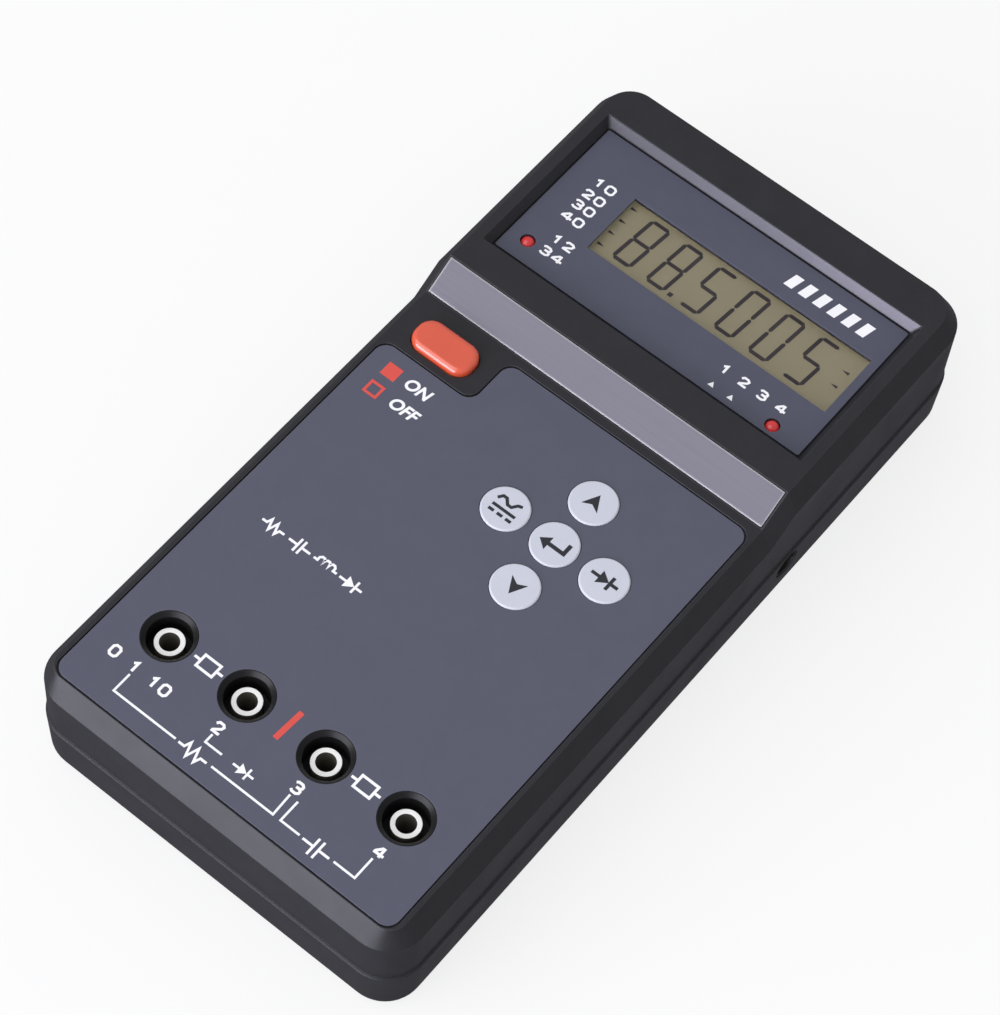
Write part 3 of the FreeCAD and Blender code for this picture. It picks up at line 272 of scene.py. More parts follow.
def dress(shader, share, height, bump, depth, radius, deep, pale, edge, smooth, dull):
    """Wires two colours by a share, a third on the edges, handling marks and a bump into a shader."""
    tree = shader.id_data
    corners = place(tree, rounded, Radius=radius * MM)
    body = mixed(tree, share, deep, pale)
    relief = {"Strength": bump, "Distance": depth, "Height": height, "Normal": corners["Normal"]}
    # The edge colour over the rounded edges is wear and painted sheen.
    fill(shader, {
        "Base Color": mixed(tree, corners["Edge"], body, edge),
        "Roughness": place(tree, handling, Smooth=smooth, Dull=dull)["Roughness"],
        "Normal": add(tree, "Bump", relief).outputs[0],
    })


def moulded(slot, per_metre=3000, bump=0.2, radius=0.3, shine=0.5, **coat):
    """A dense plastic or satin paint; colours are linear, and the radius of the edges is in mm."""
    shader = blank(slot)
    pebbles = place(shader.id_data, grain, Per_metre=per_metre)
    dress(shader, pebbles["Fleck"], pebbles["Height"], bump, GRAIN_DEPTH, radius, **coat)
    fill(shader, {"Specular IOR Level": shine})
    return shader


print("grain is up to", GRAIN_DEPTH / MM, "mm deep")

# %% [markdown]
# The case is a charcoal moulding, almost black, whose skin shows mostly by what it mirrors. The keypad
# and display plates are blue-grey satin prints.

# %% Case and plates
CASE = dict(deep=(0.016, 0.016, 0.018), pale=(0.025, 0.025, 0.028), smooth=0.34, dull=0.46, shine=0.33)
PLATE = dict(smooth=0.45, dull=0.53, per_metre=5000, bump=0.1, radius=0.15)

# The case's edge colour, lighter than its body, is edge wear and a painted sheen along the edges.
moulded("case_plastic", edge=(0.055, 0.055, 0.062), **CASE)
moulded("keypad_plate", deep=(0.066, 0.070, 0.102), pale=(0.080, 0.084, 0.120),
        edge=(0.14, 0.145, 0.18), **PLATE)
moulded("display_plate", deep=(0.058, 0.062, 0.093), pale=(0.072, 0.076, 0.110),
        edge=(0.12, 0.125, 0.16), **PLATE)
print("plastics:", sorted(finishes))

# %% [markdown]
# The keys are pale grey. The switch cap is a glossy orange-red with a wide rounding, under a clear
# coat. The sockets and the inlet are black and dull, so that they read as holes.

# %% Keys, cap, sockets and inlet
moulded("key_plastic", deep=(0.47, 0.485, 0.555), pale=(0.53, 0.545, 0.615), edge=(0.68, 0.69, 0.74),
        smooth=0.35, dull=0.5, per_metre=4000, bump=0.08)
cap = moulded("red_plastic", deep=(0.56, 0.068, 0.024), pale=(0.65, 0.086, 0.034), edge=(0.55, 0.07, 0.03),
              smooth=0.1, dull=0.17, per_metre=4000, bump=0.02, radius=0.8, shine=0.9)
fill(cap, {"Coat Weight": 1.0})
moulded("socket_plastic", deep=grey(0.006), pale=grey(0.010), edge=grey(0.02),
        smooth=0.36, dull=0.48, per_metre=4000, bump=0.08, radius=0.2, shine=0.3)
moulded("inlet_plastic", deep=grey(0.007), pale=grey(0.011), edge=grey(0.03),
        smooth=0.34, dull=0.48, per_metre=4000, bump=0.1, radius=0.15)
print("plastics:", sorted(finishes))

# %% [markdown]
# Some pieces only show when the battery door is off or in a cut-away, but each one still gets a finish
# of its own: rubber is dull, the board's green lacquer is glossy, chip plastic is black and slightly
# sparkly.

# %% Rubber, board and small works
moulded("foot_rubber", deep=grey(0.012), pale=grey(0.022), edge=grey(0.04),
        smooth=0.7, dull=0.85, per_metre=2500, bump=0.35)
moulded("contact_rubber", deep=(0.30, 0.30, 0.31), pale=(0.36, 0.36, 0.37), edge=(0.40, 0.40, 0.42),
        smooth=0.65, dull=0.8, per_metre=2500)
moulded("frame_plastic", deep=(0.45, 0.45, 0.44), pale=(0.52, 0.52, 0.50), edge=(0.6, 0.6, 0.58),
        smooth=0.4, dull=0.5)
moulded("switch_plastic", deep=grey(0.02), pale=grey(0.03), edge=grey(0.06), smooth=0.35, dull=0.5)
moulded("board_laminate", deep=(0.012, 0.075, 0.030), pale=(0.020, 0.110, 0.045), edge=(0.20, 0.17, 0.06),
        smooth=0.22, dull=0.34, per_metre=1200, bump=0.12)
moulded("chip_plastic", deep=(0.012, 0.012, 0.013), pale=(0.022, 0.022, 0.023), edge=grey(0.05),
        smooth=0.45, dull=0.6, per_metre=4500, bump=0.25)
print("plastics, rubbers and the board:", len(finishes))

# %% [markdown]
# ## Metals
# The strip across the ramp is a satin silver paint on metal, the sockets are bright tin plate, the
# springs and screws plain steel. All take the drawn lines for streaks in colour and relief.

# %% The metal recipe
LINE_DEPTH = 0.05 * MM
SILVER = dict(deep=(0.122, 0.115, 0.143), pale=(0.152, 0.144, 0.179), smooth=0.36, dull=0.48, metallic=0.15)


def metal(slot, metallic=1.0, across=2600, along=30, bump=0.1, radius=0.2, **coat):
    """Drawn or painted metal whose streaks run along x; across and along count them per metre."""
    shader = blank(slot)
    streak = place(shader.id_data, drawn, Across=across, Along=along)["Streak"]
    dress(shader, streak, streak, bump, LINE_DEPTH, radius, **coat)
    fill(shader, {"Metallic": metallic})
    return shader


# The strip's pale edge colour is a painted highlight along its edges.
metal("silver_trim", edge=(0.66, 0.64, 0.66), radius=0.7, **SILVER)
metal("spring_steel", deep=(0.55, 0.55, 0.56), pale=(0.68, 0.68, 0.69), edge=grey(0.9),
      smooth=0.25, dull=0.4)
metal("screw_steel", deep=(0.35, 0.35, 0.36), pale=(0.48, 0.48, 0.49), edge=grey(0.7),
      smooth=0.3, dull=0.45, across=900, along=900)
metal("capacitor_can", deep=(0.60, 0.61, 0.63), pale=(0.72, 0.73, 0.75), edge=grey(0.9),
      smooth=0.28, dull=0.4)
print("metals done, finishes:", len(finishes))

# %% [markdown]
# A socket sleeve is bright on its rim and dark down its deep bore, where the darker colour is painted
# shade, since little light gets down there. The two are told apart by which way the surface faces: the
# rim looks up, the bore looks sideways. The plated colour goes into one side of a mix, and the mix takes
# its place at the shader.

# %% Socket sleeves
BORE_PAINTED_SHADE = (0.12, 0.11, 0.09)


def painted(shader):
    """The wire that feeds a shader's base colour so far."""
    return shader.inputs["Base Color"].links[0].from_socket


sleeve = metal("socket_metal", deep=(0.80, 0.80, 0.78), pale=(0.92, 0.92, 0.90), edge=grey(1.0),
               smooth=0.3, dull=0.4, metallic=0.0, across=900, along=900, bump=0.03)
tree = sleeve.id_data
upward = add(tree, "SeparateXYZ", {0: add(tree, "NewGeometry").outputs["Normal"]}).outputs["Z"]
# Painted shade: surfaces that face sideways, down the bore, take the darker colour.
rim = remap(tree, upward, 0.3, 0.8, 0.0, 1.0)
fill(sleeve, {"Base Color": mixed(tree, rim, BORE_PAINTED_SHADE, painted(sleeve))})
print("sleeve rims bright, bores dark")

# %% [markdown]
# A dry cell is a steel can in a printed sleeve, and the can shows at both ends. The cells lie across
# the case, so the distance from its middle plane tells the bare ends from the sleeve.

# %% Battery cells
SLEEVE_HALF = 23.2
SLEEVE_METALLIC = 0.3
CAN_COLOUR = (0.62, 0.62, 0.63)

cell = metal("cell_wrap", deep=(0.05, 0.06, 0.075), pale=(0.07, 0.085, 0.105), edge=(0.2, 0.2, 0.22),
             smooth=0.28, dull=0.4, metallic=SLEEVE_METALLIC, across=500, along=40, bump=0.03)
tree = cell.id_data
across = add(tree, "SeparateXYZ", {0: object_place(tree)}).outputs["X"]
far = add(tree, "Math", {0: across}, operation="ABSOLUTE").outputs[0]
bare = add(tree, "Math", {0: far, 1: SLEEVE_HALF * MM}, operation="GREATER_THAN").outputs[0]
fill(cell, {
    "Base Color": mixed(tree, bare, painted(cell), CAN_COLOUR),
    "Metallic": remap(tree, bare, 0.0, 1.0, SLEEVE_METALLIC, 1.0),
})
print("cell sleeves with bare ends, finishes:", len(finishes))

# %% [markdown]
# ## Clear and glowing pieces
# The window is a clear moulded sheet, so it is a transmissive shader with a plain metallic value. The
# fuse is a glass tube of the same recipe, with the stronger bend that glass gives to light.

# %% Window and fuse glass
def clear(slot, tint, smooth, dull, index):
    """A clear sheet or tube with faint handling marks."""
    shader = blank(slot)
    fill(shader, {
        "Base Color": opaque(tint),
        "Roughness": place(shader.id_data, handling, Smooth=smooth, Dull=dull)["Roughness"],
        "Transmission Weight": 1.0,
        "IOR": index,
    })


clear("clear_window", (0.98, 0.99, 0.98), smooth=0.0, dull=0.02, index=1.12)
clear("fuse_glass", (0.95, 0.97, 0.96), smooth=0.02, dull=0.06, index=1.5)
print("finishes:", len(finishes))

# %% [markdown]
# The display glass behind the window is a liquid-crystal cell: its ground is a dull olive that varies a
# little as the crystal does. The ground also glows faintly, as painted light that lifts the shade the
# frame casts on its far edge. The two lamps are tinted resin that carries some light of its own.

# %% Display ground and lamps
def glow(shader, colour, strength):
    """Gives a shader some light of its own."""
    fill(shader, {"Emission Color": opaque(colour), "Emission Strength": strength})


ground = moulded("display_glass", deep=(0.246, 0.213, 0.132), pale=(0.284, 0.248, 0.161),
                 edge=(0.31, 0.28, 0.19), smooth=0.35, dull=0.5, per_metre=900, bump=0.02)
# Painted light: a faint glow on the display ground evens out the shade under the frame.
glow(ground, (0.378, 0.329, 0.210), 0.19)
resin = moulded("red_lamp", deep=(0.44, 0.020, 0.024), pale=(0.56, 0.036, 0.038), edge=(0.7, 0.08, 0.08),
                smooth=0.15, dull=0.25, per_metre=900, bump=0.02)
fill(resin, {"Coat Weight": 0.6})
glow(resin, (1.0, 0.05, 0.03), 0.08)
print("finishes:", len(finishes))

# %% [markdown]
# Every solid came in with a material named after its slot in the record, so the new finish for each
# piece is found by that name. Nothing is picked by hand, and a piece that lacks a finish would stop the
# script.

# %% Dress the solids
for solid in nodes.values():
    for holder in solid.material_slots:
        holder.material = finishes[holder.material.name]
print("dressed", len(nodes), "solids")

# %% [markdown]
# The lower case half stands out a hair at the parting line. That lip is rounder than the other edges,
# so that the front of it mirrors the lamp as a thin light line. The lower half gets the case finish
# with a wider rounding and a darker edge.

# %% Lower case half
moulded("lower_case", edge=(0.035, 0.035, 0.039), radius=0.8, **CASE)
lower_half = nodes["rear_housing"]
lower_half.material_slots[0].material = finishes["lower_case"]
print("lower half has", len(lower_half.material_slots), "finish")

# %% [markdown]
# ## Inks
# The legends are silk-screened: a few hundredths of a millimetre of dull ink, slightly patchy where the
# screen left less of it. White and red go on the plates, near-black on the keys and in the display.

# %% Ink recipe
def ink(name, thin, full, smooth=0.45, dull=0.6):
    """Screen ink whose colour wanders a little between a thin and a full coat."""
    moulded(name, deep=thin, pale=full, edge=full, smooth=smooth, dull=dull,
            per_metre=6000, bump=0.15, radius=0.02)
    return finishes[name]


white_ink = ink("white_ink", (0.74, 0.74, 0.76), (0.86, 0.86, 0.88))
red_ink = ink("red_ink", (0.55, 0.05, 0.04), (0.66, 0.08, 0.06))
dark_ink = ink("dark_ink", (0.012, 0.014, 0.018), (0.022, 0.024, 0.030))
crystal = ink("crystal_dark", (0.038, 0.027, 0.032), (0.055, 0.041, 0.044), smooth=0.35, dull=0.5)
print("inks:", [coat.name for coat in (white_ink, red_ink, dark_ink, crystal)])

# %% [markdown]
# ## Printing
# A printed sign is a thin raised film. It could be a picture on the plate, but then it would blur close
# up and need unwrapping, so each sign is a real sheet of ink: outlines in millimetres become faces, and
# the faces are raised by the thickness of the film. The faces of one stroke share their corners, so it
# is one closed skin. Strokes that cross differ by a hair in thickness, so that no two faces lie in one
# plane.

# %% Turning outlines into ink
FILM = 0.03
FILM_STEP = 0.1
FILM_STEPS = 5


def thicken(mesh, sheet, shift):
    """Makes a sheet of faces into a closed film, whose far side is moved by the shift."""
    for corner in bmesh.ops.extrude_face_region(mesh, geom=sheet)["geom"]:
        if isinstance(corner, bmesh.types.BMVert):
            corner.co += shift


def make_piece(name, mesh, coat):
    """Makes a finished mesh into an object of the scene, with one coat."""
    data = bpy.data.meshes.new(name)
    mesh.to_mesh(data)
    mesh.free()
    data.materials.append(coat)
    piece = bpy.data.objects.new(name, data)
    scene.collection.objects.link(piece)
    return piece


def printed(name, marks, level, coat, body="case", film=FILM):
    """Lays marks, each a list of joined faces with corners as x, y in mm, as films at a level."""
    mesh = bmesh.new()
    for number, faces in enumerate(marks):
        spots = {}
        sheet = []
        for face in faces:
            for x, y in face:
                if (x, y) not in spots:
                    spots[x, y] = mesh.verts.new((x * MM, y * MM, level * MM))
            sheet.append(mesh.faces.new([spots[x, y] for x, y in face]))
        thickness = film * (1 + FILM_STEP * (number % FILM_STEPS))
        thicken(mesh, sheet, Vector((0, 0, thickness * MM)))
    bmesh.ops.recalc_face_normals(mesh, faces=mesh.faces)
    print(name, "has", len(marks), "marks")
    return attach(make_piece(name, mesh, coat), body)


print("ink films are", FILM, "mm thick and more")

# %% [markdown]
# Most signs are line drawings. A curve with a bevel would draw a line too, but with round sides. Here
# each run of the line is a flat quad, and where two runs meet, their shared corners lie on the mitre,
# as a pen would draw it.

# %% Lines of even width
MITRE_LIMIT = 0.35


def neighbours(stops, closed):
    """Each stop of a line with the next one; a closed line goes back to its first stop."""
    return list(zip(stops, stops[1:] + stops[:1] if closed else stops[1:]))


def ribbon(points, width, closed=False):
    """Mark of a line of even width through the points, with mitred corners, as one quad per run."""
    spots = [Vector(point) for point in points]
    ways = [(end - start).normalized() for start, end in neighbours(spots, closed)]
    edges = []
    for number, spot in enumerate(spots):
        meeting = ways[max(number - 1, 0):number + 1]
        if closed and number == 0:
            meeting = [ways[-1], ways[0]]
        along = sum(meeting, Vector((0, 0))).normalized()
        reach = width / 2 / max(MITRE_LIMIT, abs(along.dot(meeting[0])))
        aside = Vector((-along.y, along.x)) * reach
        edges.append((tuple(spot + aside), tuple(spot - aside)))
    return [(a[0], a[1], b[1], b[0]) for a, b in neighbours(edges, closed)]


print("a line with one corner has", len(ribbon([(0, 0), (1, 0), (1, 1)], 0.1)), "quads")

# %% [markdown]
# Letters come from Blender's own typeface. The text is set, thickened a little like screen print,
# turned into a mesh and laid on the plate like any other film.

# %% Setting type
CAP_SHARE = 0.69
LETTER_SWELL = 0.045
LETTER_SLANT = 0.2


def lettered(name, words, height, level):
    """Sets short texts, each a (text, x, y) in mm, as one film of ink with capitals of that height."""
    mesh = bmesh.new()
    for text, x, y in words:
        line = bpy.data.curves.new(name, "FONT")
        line.body = text
        line.size = height / CAP_SHARE
        line.shear = LETTER_SLANT
        line.align_x = "CENTER"
        line.align_y = "CENTER"
        line.offset = LETTER_SWELL * height
        line.extrude = FILM / 2
        line.resolution_u = 4
        setting = bpy.data.objects.new(name, line)
        scene.collection.objects.link(setting)
        bpy.context.view_layer.update()
        ready = setting.evaluated_get(bpy.context.evaluated_depsgraph_get())
        letters = bpy.data.meshes.new_from_object(ready)
        letters.transform(Matrix.Scale(MM, 4) @ Matrix.Translation((x, y, level + FILM / 2)))
        mesh.from_mesh(letters)
        bpy.data.objects.remove(setting)
        bpy.data.meshes.remove(letters)
    print(name, "sets", [text for text, _, _ in words])
    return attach(make_piece(name, mesh, white_ink), "case")


print("capitals are", CAP_SHARE, "of the size of the type")

# %% [markdown]
# Screen-printed numbers on instruments are drawn with one even stroke. A typeface would do, but its 1
# is a bare bar and its strokes are thin at this size, so the few numbers needed are drawn as ribbons on
# a small grid.

# %% Stroke numbers
STROKES = {
    "0": [[(0.15, 0), (0.45, 0), (0.6, 0.2), (0.6, 0.8), (0.45, 1), (0.15, 1), (0, 0.8), (0, 0.2)]],
    "1": [[(0.1, 0.72), (0.36, 0.96), (0.36, 0)]],
    "2": [
        [(0, 0.76), (0.15, 1), (0.45, 1), (0.6, 0.82), (0.54, 0.58), (0.08, 0.1)],
        [(0, 0.04), (0.66, 0.04)],
    ],
    "3": [
        [(0, 0.86), (0.15, 1), (0.45, 1), (0.6, 0.84), (0.6, 0.66), (0.46, 0.52)],
        [(0.2, 0.52), (0.46, 0.52)],
        [(0.46, 0.52), (0.62, 0.36), (0.62, 0.16), (0.45, 0), (0.15, 0), (0, 0.14)],
    ],
    "4": [[(0.48, 0), (0.48, 1)], [(0.4, 0.92), (0.02, 0.34)], [(-0.06, 0.26), (0.74, 0.26)]],
}
DIGIT_STEP = 0.95
DIGIT_GAP = 0.35


def numbered(name, labels, level, tall, wide, thick):
    """Prints numbers, each a (text, x, y) about its middle in mm; wide stretches the grid sideways."""
    marks = []
    for text, x, y in labels:
        start = x - (len(text) * DIGIT_STEP - DIGIT_GAP) * tall * wide / 2
        for number, digit in enumerate(text):
            corner = start + DIGIT_STEP * tall * wide * number
            for stroke in STROKES[digit]:
                points = [(corner + tall * wide * across, y + tall * (up - 0.5)) for across, up in stroke]
                marks.append(ribbon(points, thick, closed=digit == "0"))
    return printed(name, marks, level, white_ink)


print("digits drawn:", "".join(STROKES))

# %% [markdown]
# ## Legends on the keypad plate
# Beside the red cap stand a full and an open red mark with ON and OFF. The full mark is one filled
# outline, and the open one a closed ribbon.

# %% Switch legends
def rectangle(x, y, wide, tall):
    """Corners of a rectangle about a point, clockwise from the top left."""
    left, right = x - wide / 2, x + wide / 2
    top, foot = y + tall / 2, y - tall / 2
    return [(left, top), (right, top), (right, foot), (left, foot)]


plate_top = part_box("keypad_panel")[1].z / MM
lettered("switch_words", [("ON", -28.2, 4.0), ("OFF", -27.4, -1.3)], 2.5, plate_top)
full_mark = [rectangle(-34.5, 3.95, 3.4, 3.3)]
open_mark = ribbon(rectangle(-34.6, -1.35, 2.8, 2.7), 0.6, closed=True)
printed("switch_marks", [full_mark, open_mark], plate_top, red_ink)

# %% [markdown]
# White brackets tie the sockets in pairs. They are drawn from the line of the socket middles, which is
# measured on a sleeve, so that they keep their distance from the holes.

# %% Socket brackets
BRACKET_LINE = 0.45
BRACKETS = [
    [(-28.7, -10.6), (-28.7, -15.0), (-13.6, -15.0)],
    [(-9.1, -10.0), (-9.1, -12.0), (-5.1, -12.0)],
    [(-5.0, -15.0), (9.7, -15.0), (9.5, -10.0)],
    [(11.5, -10.2), (11.5, -15.0), (16.0, -15.0)],
    [(24.0, -15.0), (28.9, -15.0), (28.9, -10.0)],
]

sleeve_low, sleeve_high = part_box("jack_sleeve_1")
socket_y = (sleeve_low.y + sleeve_high.y) / 2 / MM
brackets = [ribbon([(x, socket_y + y) for x, y in bracket], BRACKET_LINE) for bracket in BRACKETS]
printed("socket_brackets", brackets, plate_top, white_ink)

# %% [markdown]
# Below each socket is a number. Between the sockets of a pair sits the plain sign for a part under
# test, a small box with two leads, and a red bar parts the two pairs.

# %% Socket numbers and part signs
SIGN_LINE = 0.55
SIGN_Y = -67.3
LEAD_START = 2.15
LEAD_END = 3.4

numbers = [("1", -29.1, -76.2), ("2", -9.2, -75.7), ("3", 9.6, -75.5), ("4", 29.0, -75.5)]
numbers += [("0", -34.0, -76.1), ("10", -23.0, -76.3)]
numbered("socket_numbers", numbers, plate_top, tall=2.2, wide=1.3, thick=0.55)
part_signs = []
for x in (-18.9, 18.9):
    part_signs.append(ribbon(rectangle(x, SIGN_Y, 3.8, 2.8), SIGN_LINE, closed=True))
    part_signs.append(ribbon([(x - LEAD_END, SIGN_Y), (x - LEAD_START, SIGN_Y)], SIGN_LINE))
    part_signs.append(ribbon([(x + LEAD_START, SIGN_Y), (x + LEAD_END, SIGN_Y)], SIGN_LINE))
printed("part_signs", part_signs, plate_top, white_ink)
printed("red_divider", [ribbon([(0.0, -70.6), (0.4, -63.4)], 1.2)], plate_top, red_ink)

# %% [markdown]
# On the left of the plate stands a row with the drawing signs of the parts that such a meter tests: a
# resistor, a capacitor, a coil and a diode. Smaller and larger ones sit in the gaps of the brackets.
# Each is a line drawing, so one table of points and the ribbon helper make them all. Only the diode has
# a filled outline too.

# %% Drawing signs
SIGNS = {
    "resistor": [
        [(-2.9, 0), (-1.8, 0), (-1.35, 1.1), (-0.6, -1.1), (0.15, 1.1), (0.9, -1.1), (1.35, 0), (2.5, 0)],
    ],
    "capacitor": [
        [(-2.6, 0), (-0.5, 0)],
        [(-0.5, 1.6), (-0.5, -1.6)],
        [(0.5, 1.6), (0.5, -1.6)],
        [(0.5, 0), (2.6, 0)],
    ],
    "coil": [
        [(-2.8, 0), (-1.9, 0), (-1.9, 0.7), (-1.5, 1.1), (-1.0, 1.1), (-0.65, 0.7), (-0.65, 0), (-0.6, 0.7),
         (-0.2, 1.1), (0.3, 1.1), (0.6, 0.7), (0.65, 0), (0.7, 0.7), (1.05, 1.1), (1.5, 1.1), (1.9, 0.7),
         (1.9, 0), (2.8, 0)],
    ],
    "diode": [[(-2.7, 0), (-1.1, 0)], [(1.1, 1.4), (1.1, -1.4)], [(1.1, 0), (2.7, 0)]],
}
FILLED = {"diode": [(-1.1, 1.35), (-1.1, -1.35), (0.9, 0)]}


def drawing_sign(kind, x, y, scale=1.0, thick=0.5):
    """Marks of one drawing sign about a point."""
    def put(points):
        return [(x + scale * across, y + scale * along) for across, along in points]

    marks = [ribbon(put(run), thick) for run in SIGNS[kind]]
    if kind in FILLED:
        marks.append([put(FILLED[kind])])
    return marks


row = [("resistor", -29.0), ("capacitor", -22.7), ("coil", -16.4), ("diode", -10.2)]
signs = [mark for kind, x in row for mark in drawing_sign(kind, x, -37.2)]
signs += drawing_sign("resistor", -9.2, socket_y - 15.1, scale=1.25)
signs += drawing_sign("capacitor", 19.9, socket_y - 15.1, scale=1.2)
signs += drawing_sign("diode", 0.0, socket_y - 12.0, scale=0.9, thick=0.45)
printed("drawing_signs", signs, plate_top, white_ink)

# %% [markdown]
# ## Signs on the keys
# Each key carries one dark sign and moves with its own joint, so each sign is a piece of its own that
# rides on that key's body. Up and down are arrow heads, left is the sign for both kinds of current,
# right a diode, and the middle one the return arrow.

# %% Key signs
ARROW_HEAD = [(0, 2.1), (-1.9, -1.5), (0, -0.5), (1.9, -1.5)]
WAVE = [(-2.7, 0.9), (-2.0, 1.9), (-1.2, 1.9), (-0.2, 0.8), (0.7, 0.8), (1.5, 1.9), (2.4, 2.2)]
LONG_BAR = [(-2.7, -0.6), (2.7, -0.6)]
DASHES = [[(x - 0.65, -1.9), (x + 0.65, -1.9)] for x in (-2.05, 0, 2.05)]
HOOK = [(2.6, 1.7), (2.6, -0.7), (-1.2, -0.7)]
HOOK_TIP = [(-1.0, 0.9), (-3.1, -0.7), (-1.0, -2.3)]


def key_sign(side, marks):
    """Prints marks, drawn round the middle of a key in mm, on top of that key."""
    low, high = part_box("key_" + side)
    x, y = (low.x + high.x) / 2 / MM, (low.y + high.y) / 2 / MM
    moved = [[[(x + across, y + along) for across, along in face] for face in mark] for mark in marks]
    return printed(side + "_sign", moved, high.z / MM, dark_ink, side + "_key")


key_sign("up", [[ARROW_HEAD]])
key_sign("down", [[[(-x, -y) for x, y in ARROW_HEAD]]])
key_sign("left", [ribbon(run, 0.65) for run in (WAVE, LONG_BAR, *DASHES)])
key_sign("right", drawing_sign("diode", 0, 0, scale=1.15, thick=0.7))
key_sign("enter", [ribbon(HOOK, 0.85), [HOOK_TIP]])

# %% [markdown]
# ## The display's figures
# A segment display draws each figure with seven bars. The bars lean a little, have mitred ends and
# leave a hair of ground between them. One could type digits from a font, but building the bars gives
# the true shapes, and any reading can be set from the table of bars.

# %% Seven bars of a figure
BARS = {"0": "abcdef", "5": "acdfg", "8": "abcdefg"}
BAR_THICK = 0.84
BAR_GAP = 0.03
FIGURE_WIDE = 4.1
FIGURE_TALL = 11.8
FIGURE_FOOT = 53.5
LEAN = 0.085


def bar(start, end):
    """Outline of one bar with pointed ends, in the upright frame of its figure."""
    along = (Vector(end) - Vector(start)).normalized()
    aside = Vector((-along.y, along.x)) * BAR_THICK / 2
    tip = along * BAR_THICK / 2
    first = Vector(start) + along * BAR_GAP
    last = Vector(end) - along * BAR_GAP
    return [first, first + tip + aside, last - tip + aside, last, last - tip - aside, first + tip - aside]


def figure(digit, left):
    """Marks of the bars of one figure whose foot starts at left."""
    top, middle, foot = FIGURE_TALL, FIGURE_TALL / 2, 0
    ends = {
        "a": ((0, top), (FIGURE_WIDE, top)),
        "b": ((FIGURE_WIDE, top), (FIGURE_WIDE, middle)),
        "c": ((FIGURE_WIDE, middle), (FIGURE_WIDE, foot)),
        "d": ((0, foot), (FIGURE_WIDE, foot)),
        "e": ((0, middle), (0, foot)),
        "f": ((0, top), (0, middle)),
        "g": ((0, middle), (FIGURE_WIDE, middle)),
    }
    outlines = [bar(*ends[name]) for name in BARS[digit]]
    return [[[(left + x + LEAN * y, FIGURE_FOOT + y) for x, y in outline]] for outline in outlines]


print("an 8 has", len(figure("8", 0)), "bars")

# %% [markdown]
# The reading is six figures at an even pitch, with a point after the second. They lie on the display
# glass, under the window.

# %% Reading
FIRST_FIGURE = -18.6
FIGURE_PITCH = 8.45
POINT = [(-4.9, 53.1), (-3.9, 53.1), (-3.8, 54.1), (-4.8, 54.1)]

glass_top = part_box("lcd_glass")[1].z / MM
reading = []
for number, digit in enumerate("885005"):
    reading += figure(digit, FIRST_FIGURE + FIGURE_PITCH * number)
printed("display_reading", [*reading, [POINT]], glass_top, crystal)

# %% [markdown]
# At both ends of the glass stand small wedges. Those on the left point into the display, those on the
# right back at the figures.

# %% Pointers at the ends of the glass
POINTER_HALF = 0.35
POINTER_LONG = 1.6


def pointer(x, y, long):
    """Mark of a slim wedge that starts at a point and goes along x."""
    return [[(x, y - POINTER_HALF), (x, y + POINTER_HALF), (x + long, y)]]


pointers = [pointer(-22.9, y, POINTER_LONG) for y in (65.0, 61.2, 57.6, 54.0)]
pointers += [pointer(33.6, y, -POINTER_LONG) for y in (61.8, 57.8)]
printed("display_pointers", pointers, glass_top, crystal)

# %% [markdown]
# ## Labels on the display plate
# The plate round the window carries small white labels: ranges down the left, numbers under the right
# half with two pointers, and a row of leaning stripes above the window, where a maker would put a name.

# %% Display labels
LABEL = dict(tall=1.9, thick=0.5)

sunk_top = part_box("display_panel")[1].z / MM
ranges = [("10", -29.4, 64.4), ("20", -29.4, 60.8), ("30", -29.4, 57.5), ("40", -29.4, 54.0)]
ranges += [("12", -27.3, 48.1), ("34", -27.3, 44.5)]
numbered("range_numbers", ranges, sunk_top, wide=1.6, **LABEL)
choices = [("1", 15.0, 45.7), ("2", 19.6, 45.7), ("3", 24.1, 45.7), ("4", 28.6, 45.7)]
numbered("choice_numbers", choices, sunk_top, wide=1.5, **LABEL)

# %% Wedges and stripes
STRIPE_COUNT = 6
STRIPE_PITCH = 3.5
FIRST_STRIPE = 11.6

wedges = [[[(x - 0.7, 40.7), (x + 0.7, 40.7), (x, 41.9)]] for x in (15.1, 19.7)]
stripe_lefts = [FIRST_STRIPE + STRIPE_PITCH * number for number in range(STRIPE_COUNT)]
stripes = [[[(x, 69.4), (x + 2.0, 69.4), (x + 2.8, 72.8), (x + 0.8, 72.8)]] for x in stripe_lefts]
printed("display_stripes", wedges + stripes, sunk_top, white_ink)

# %% [markdown]
# ## Silver band behind the display plate
# The far wall of the sunk display leans back and carries a thin band in the same silver as the strip.
# Towards its left end its colour is darkened as painted shade, where the band mirrors less light, so the
# silver is mixed with a dark grey along its length.

# %% Silver band paint
BAND_HALF = 38.0
BAND_PAINTED_SHADE = (0.045, 0.043, 0.055)

silver = metal("band_silver_painted_shade", edge=(0.24, 0.23, 0.26), radius=0.25, **SILVER)
tree = silver.id_data
along = add(tree, "SeparateXYZ", {0: object_place(tree)}).outputs["X"]
# Painted shade: the band's colour darkens from right to left along x.
bright = remap(tree, along, -BAND_HALF * MM, BAND_HALF * MM, 0.0, 1.0)
fill(silver, {"Base Color": mixed(tree, bright, BAND_PAINTED_SHADE, painted(silver))})
print("band paint:", finishes["band_silver_painted_shade"].name)

# %% [markdown]
# The band is too thin to be a solid of its own, so it is a sheet laid on the wall, with ends cut to
# follow the wall's corners. The wall starts just behind the plate, which gives its place.

# %% Silver band
PLATE_GAP = 0.4
WALL_RISE = Vector((0, 1.4, 2.1)) * MM
BAND_THICK = 0.06
BAND_CORNERS = [(0.06, -37.5), (0.06, 37.5), (0.96, 38.8), (0.96, -38.8)]

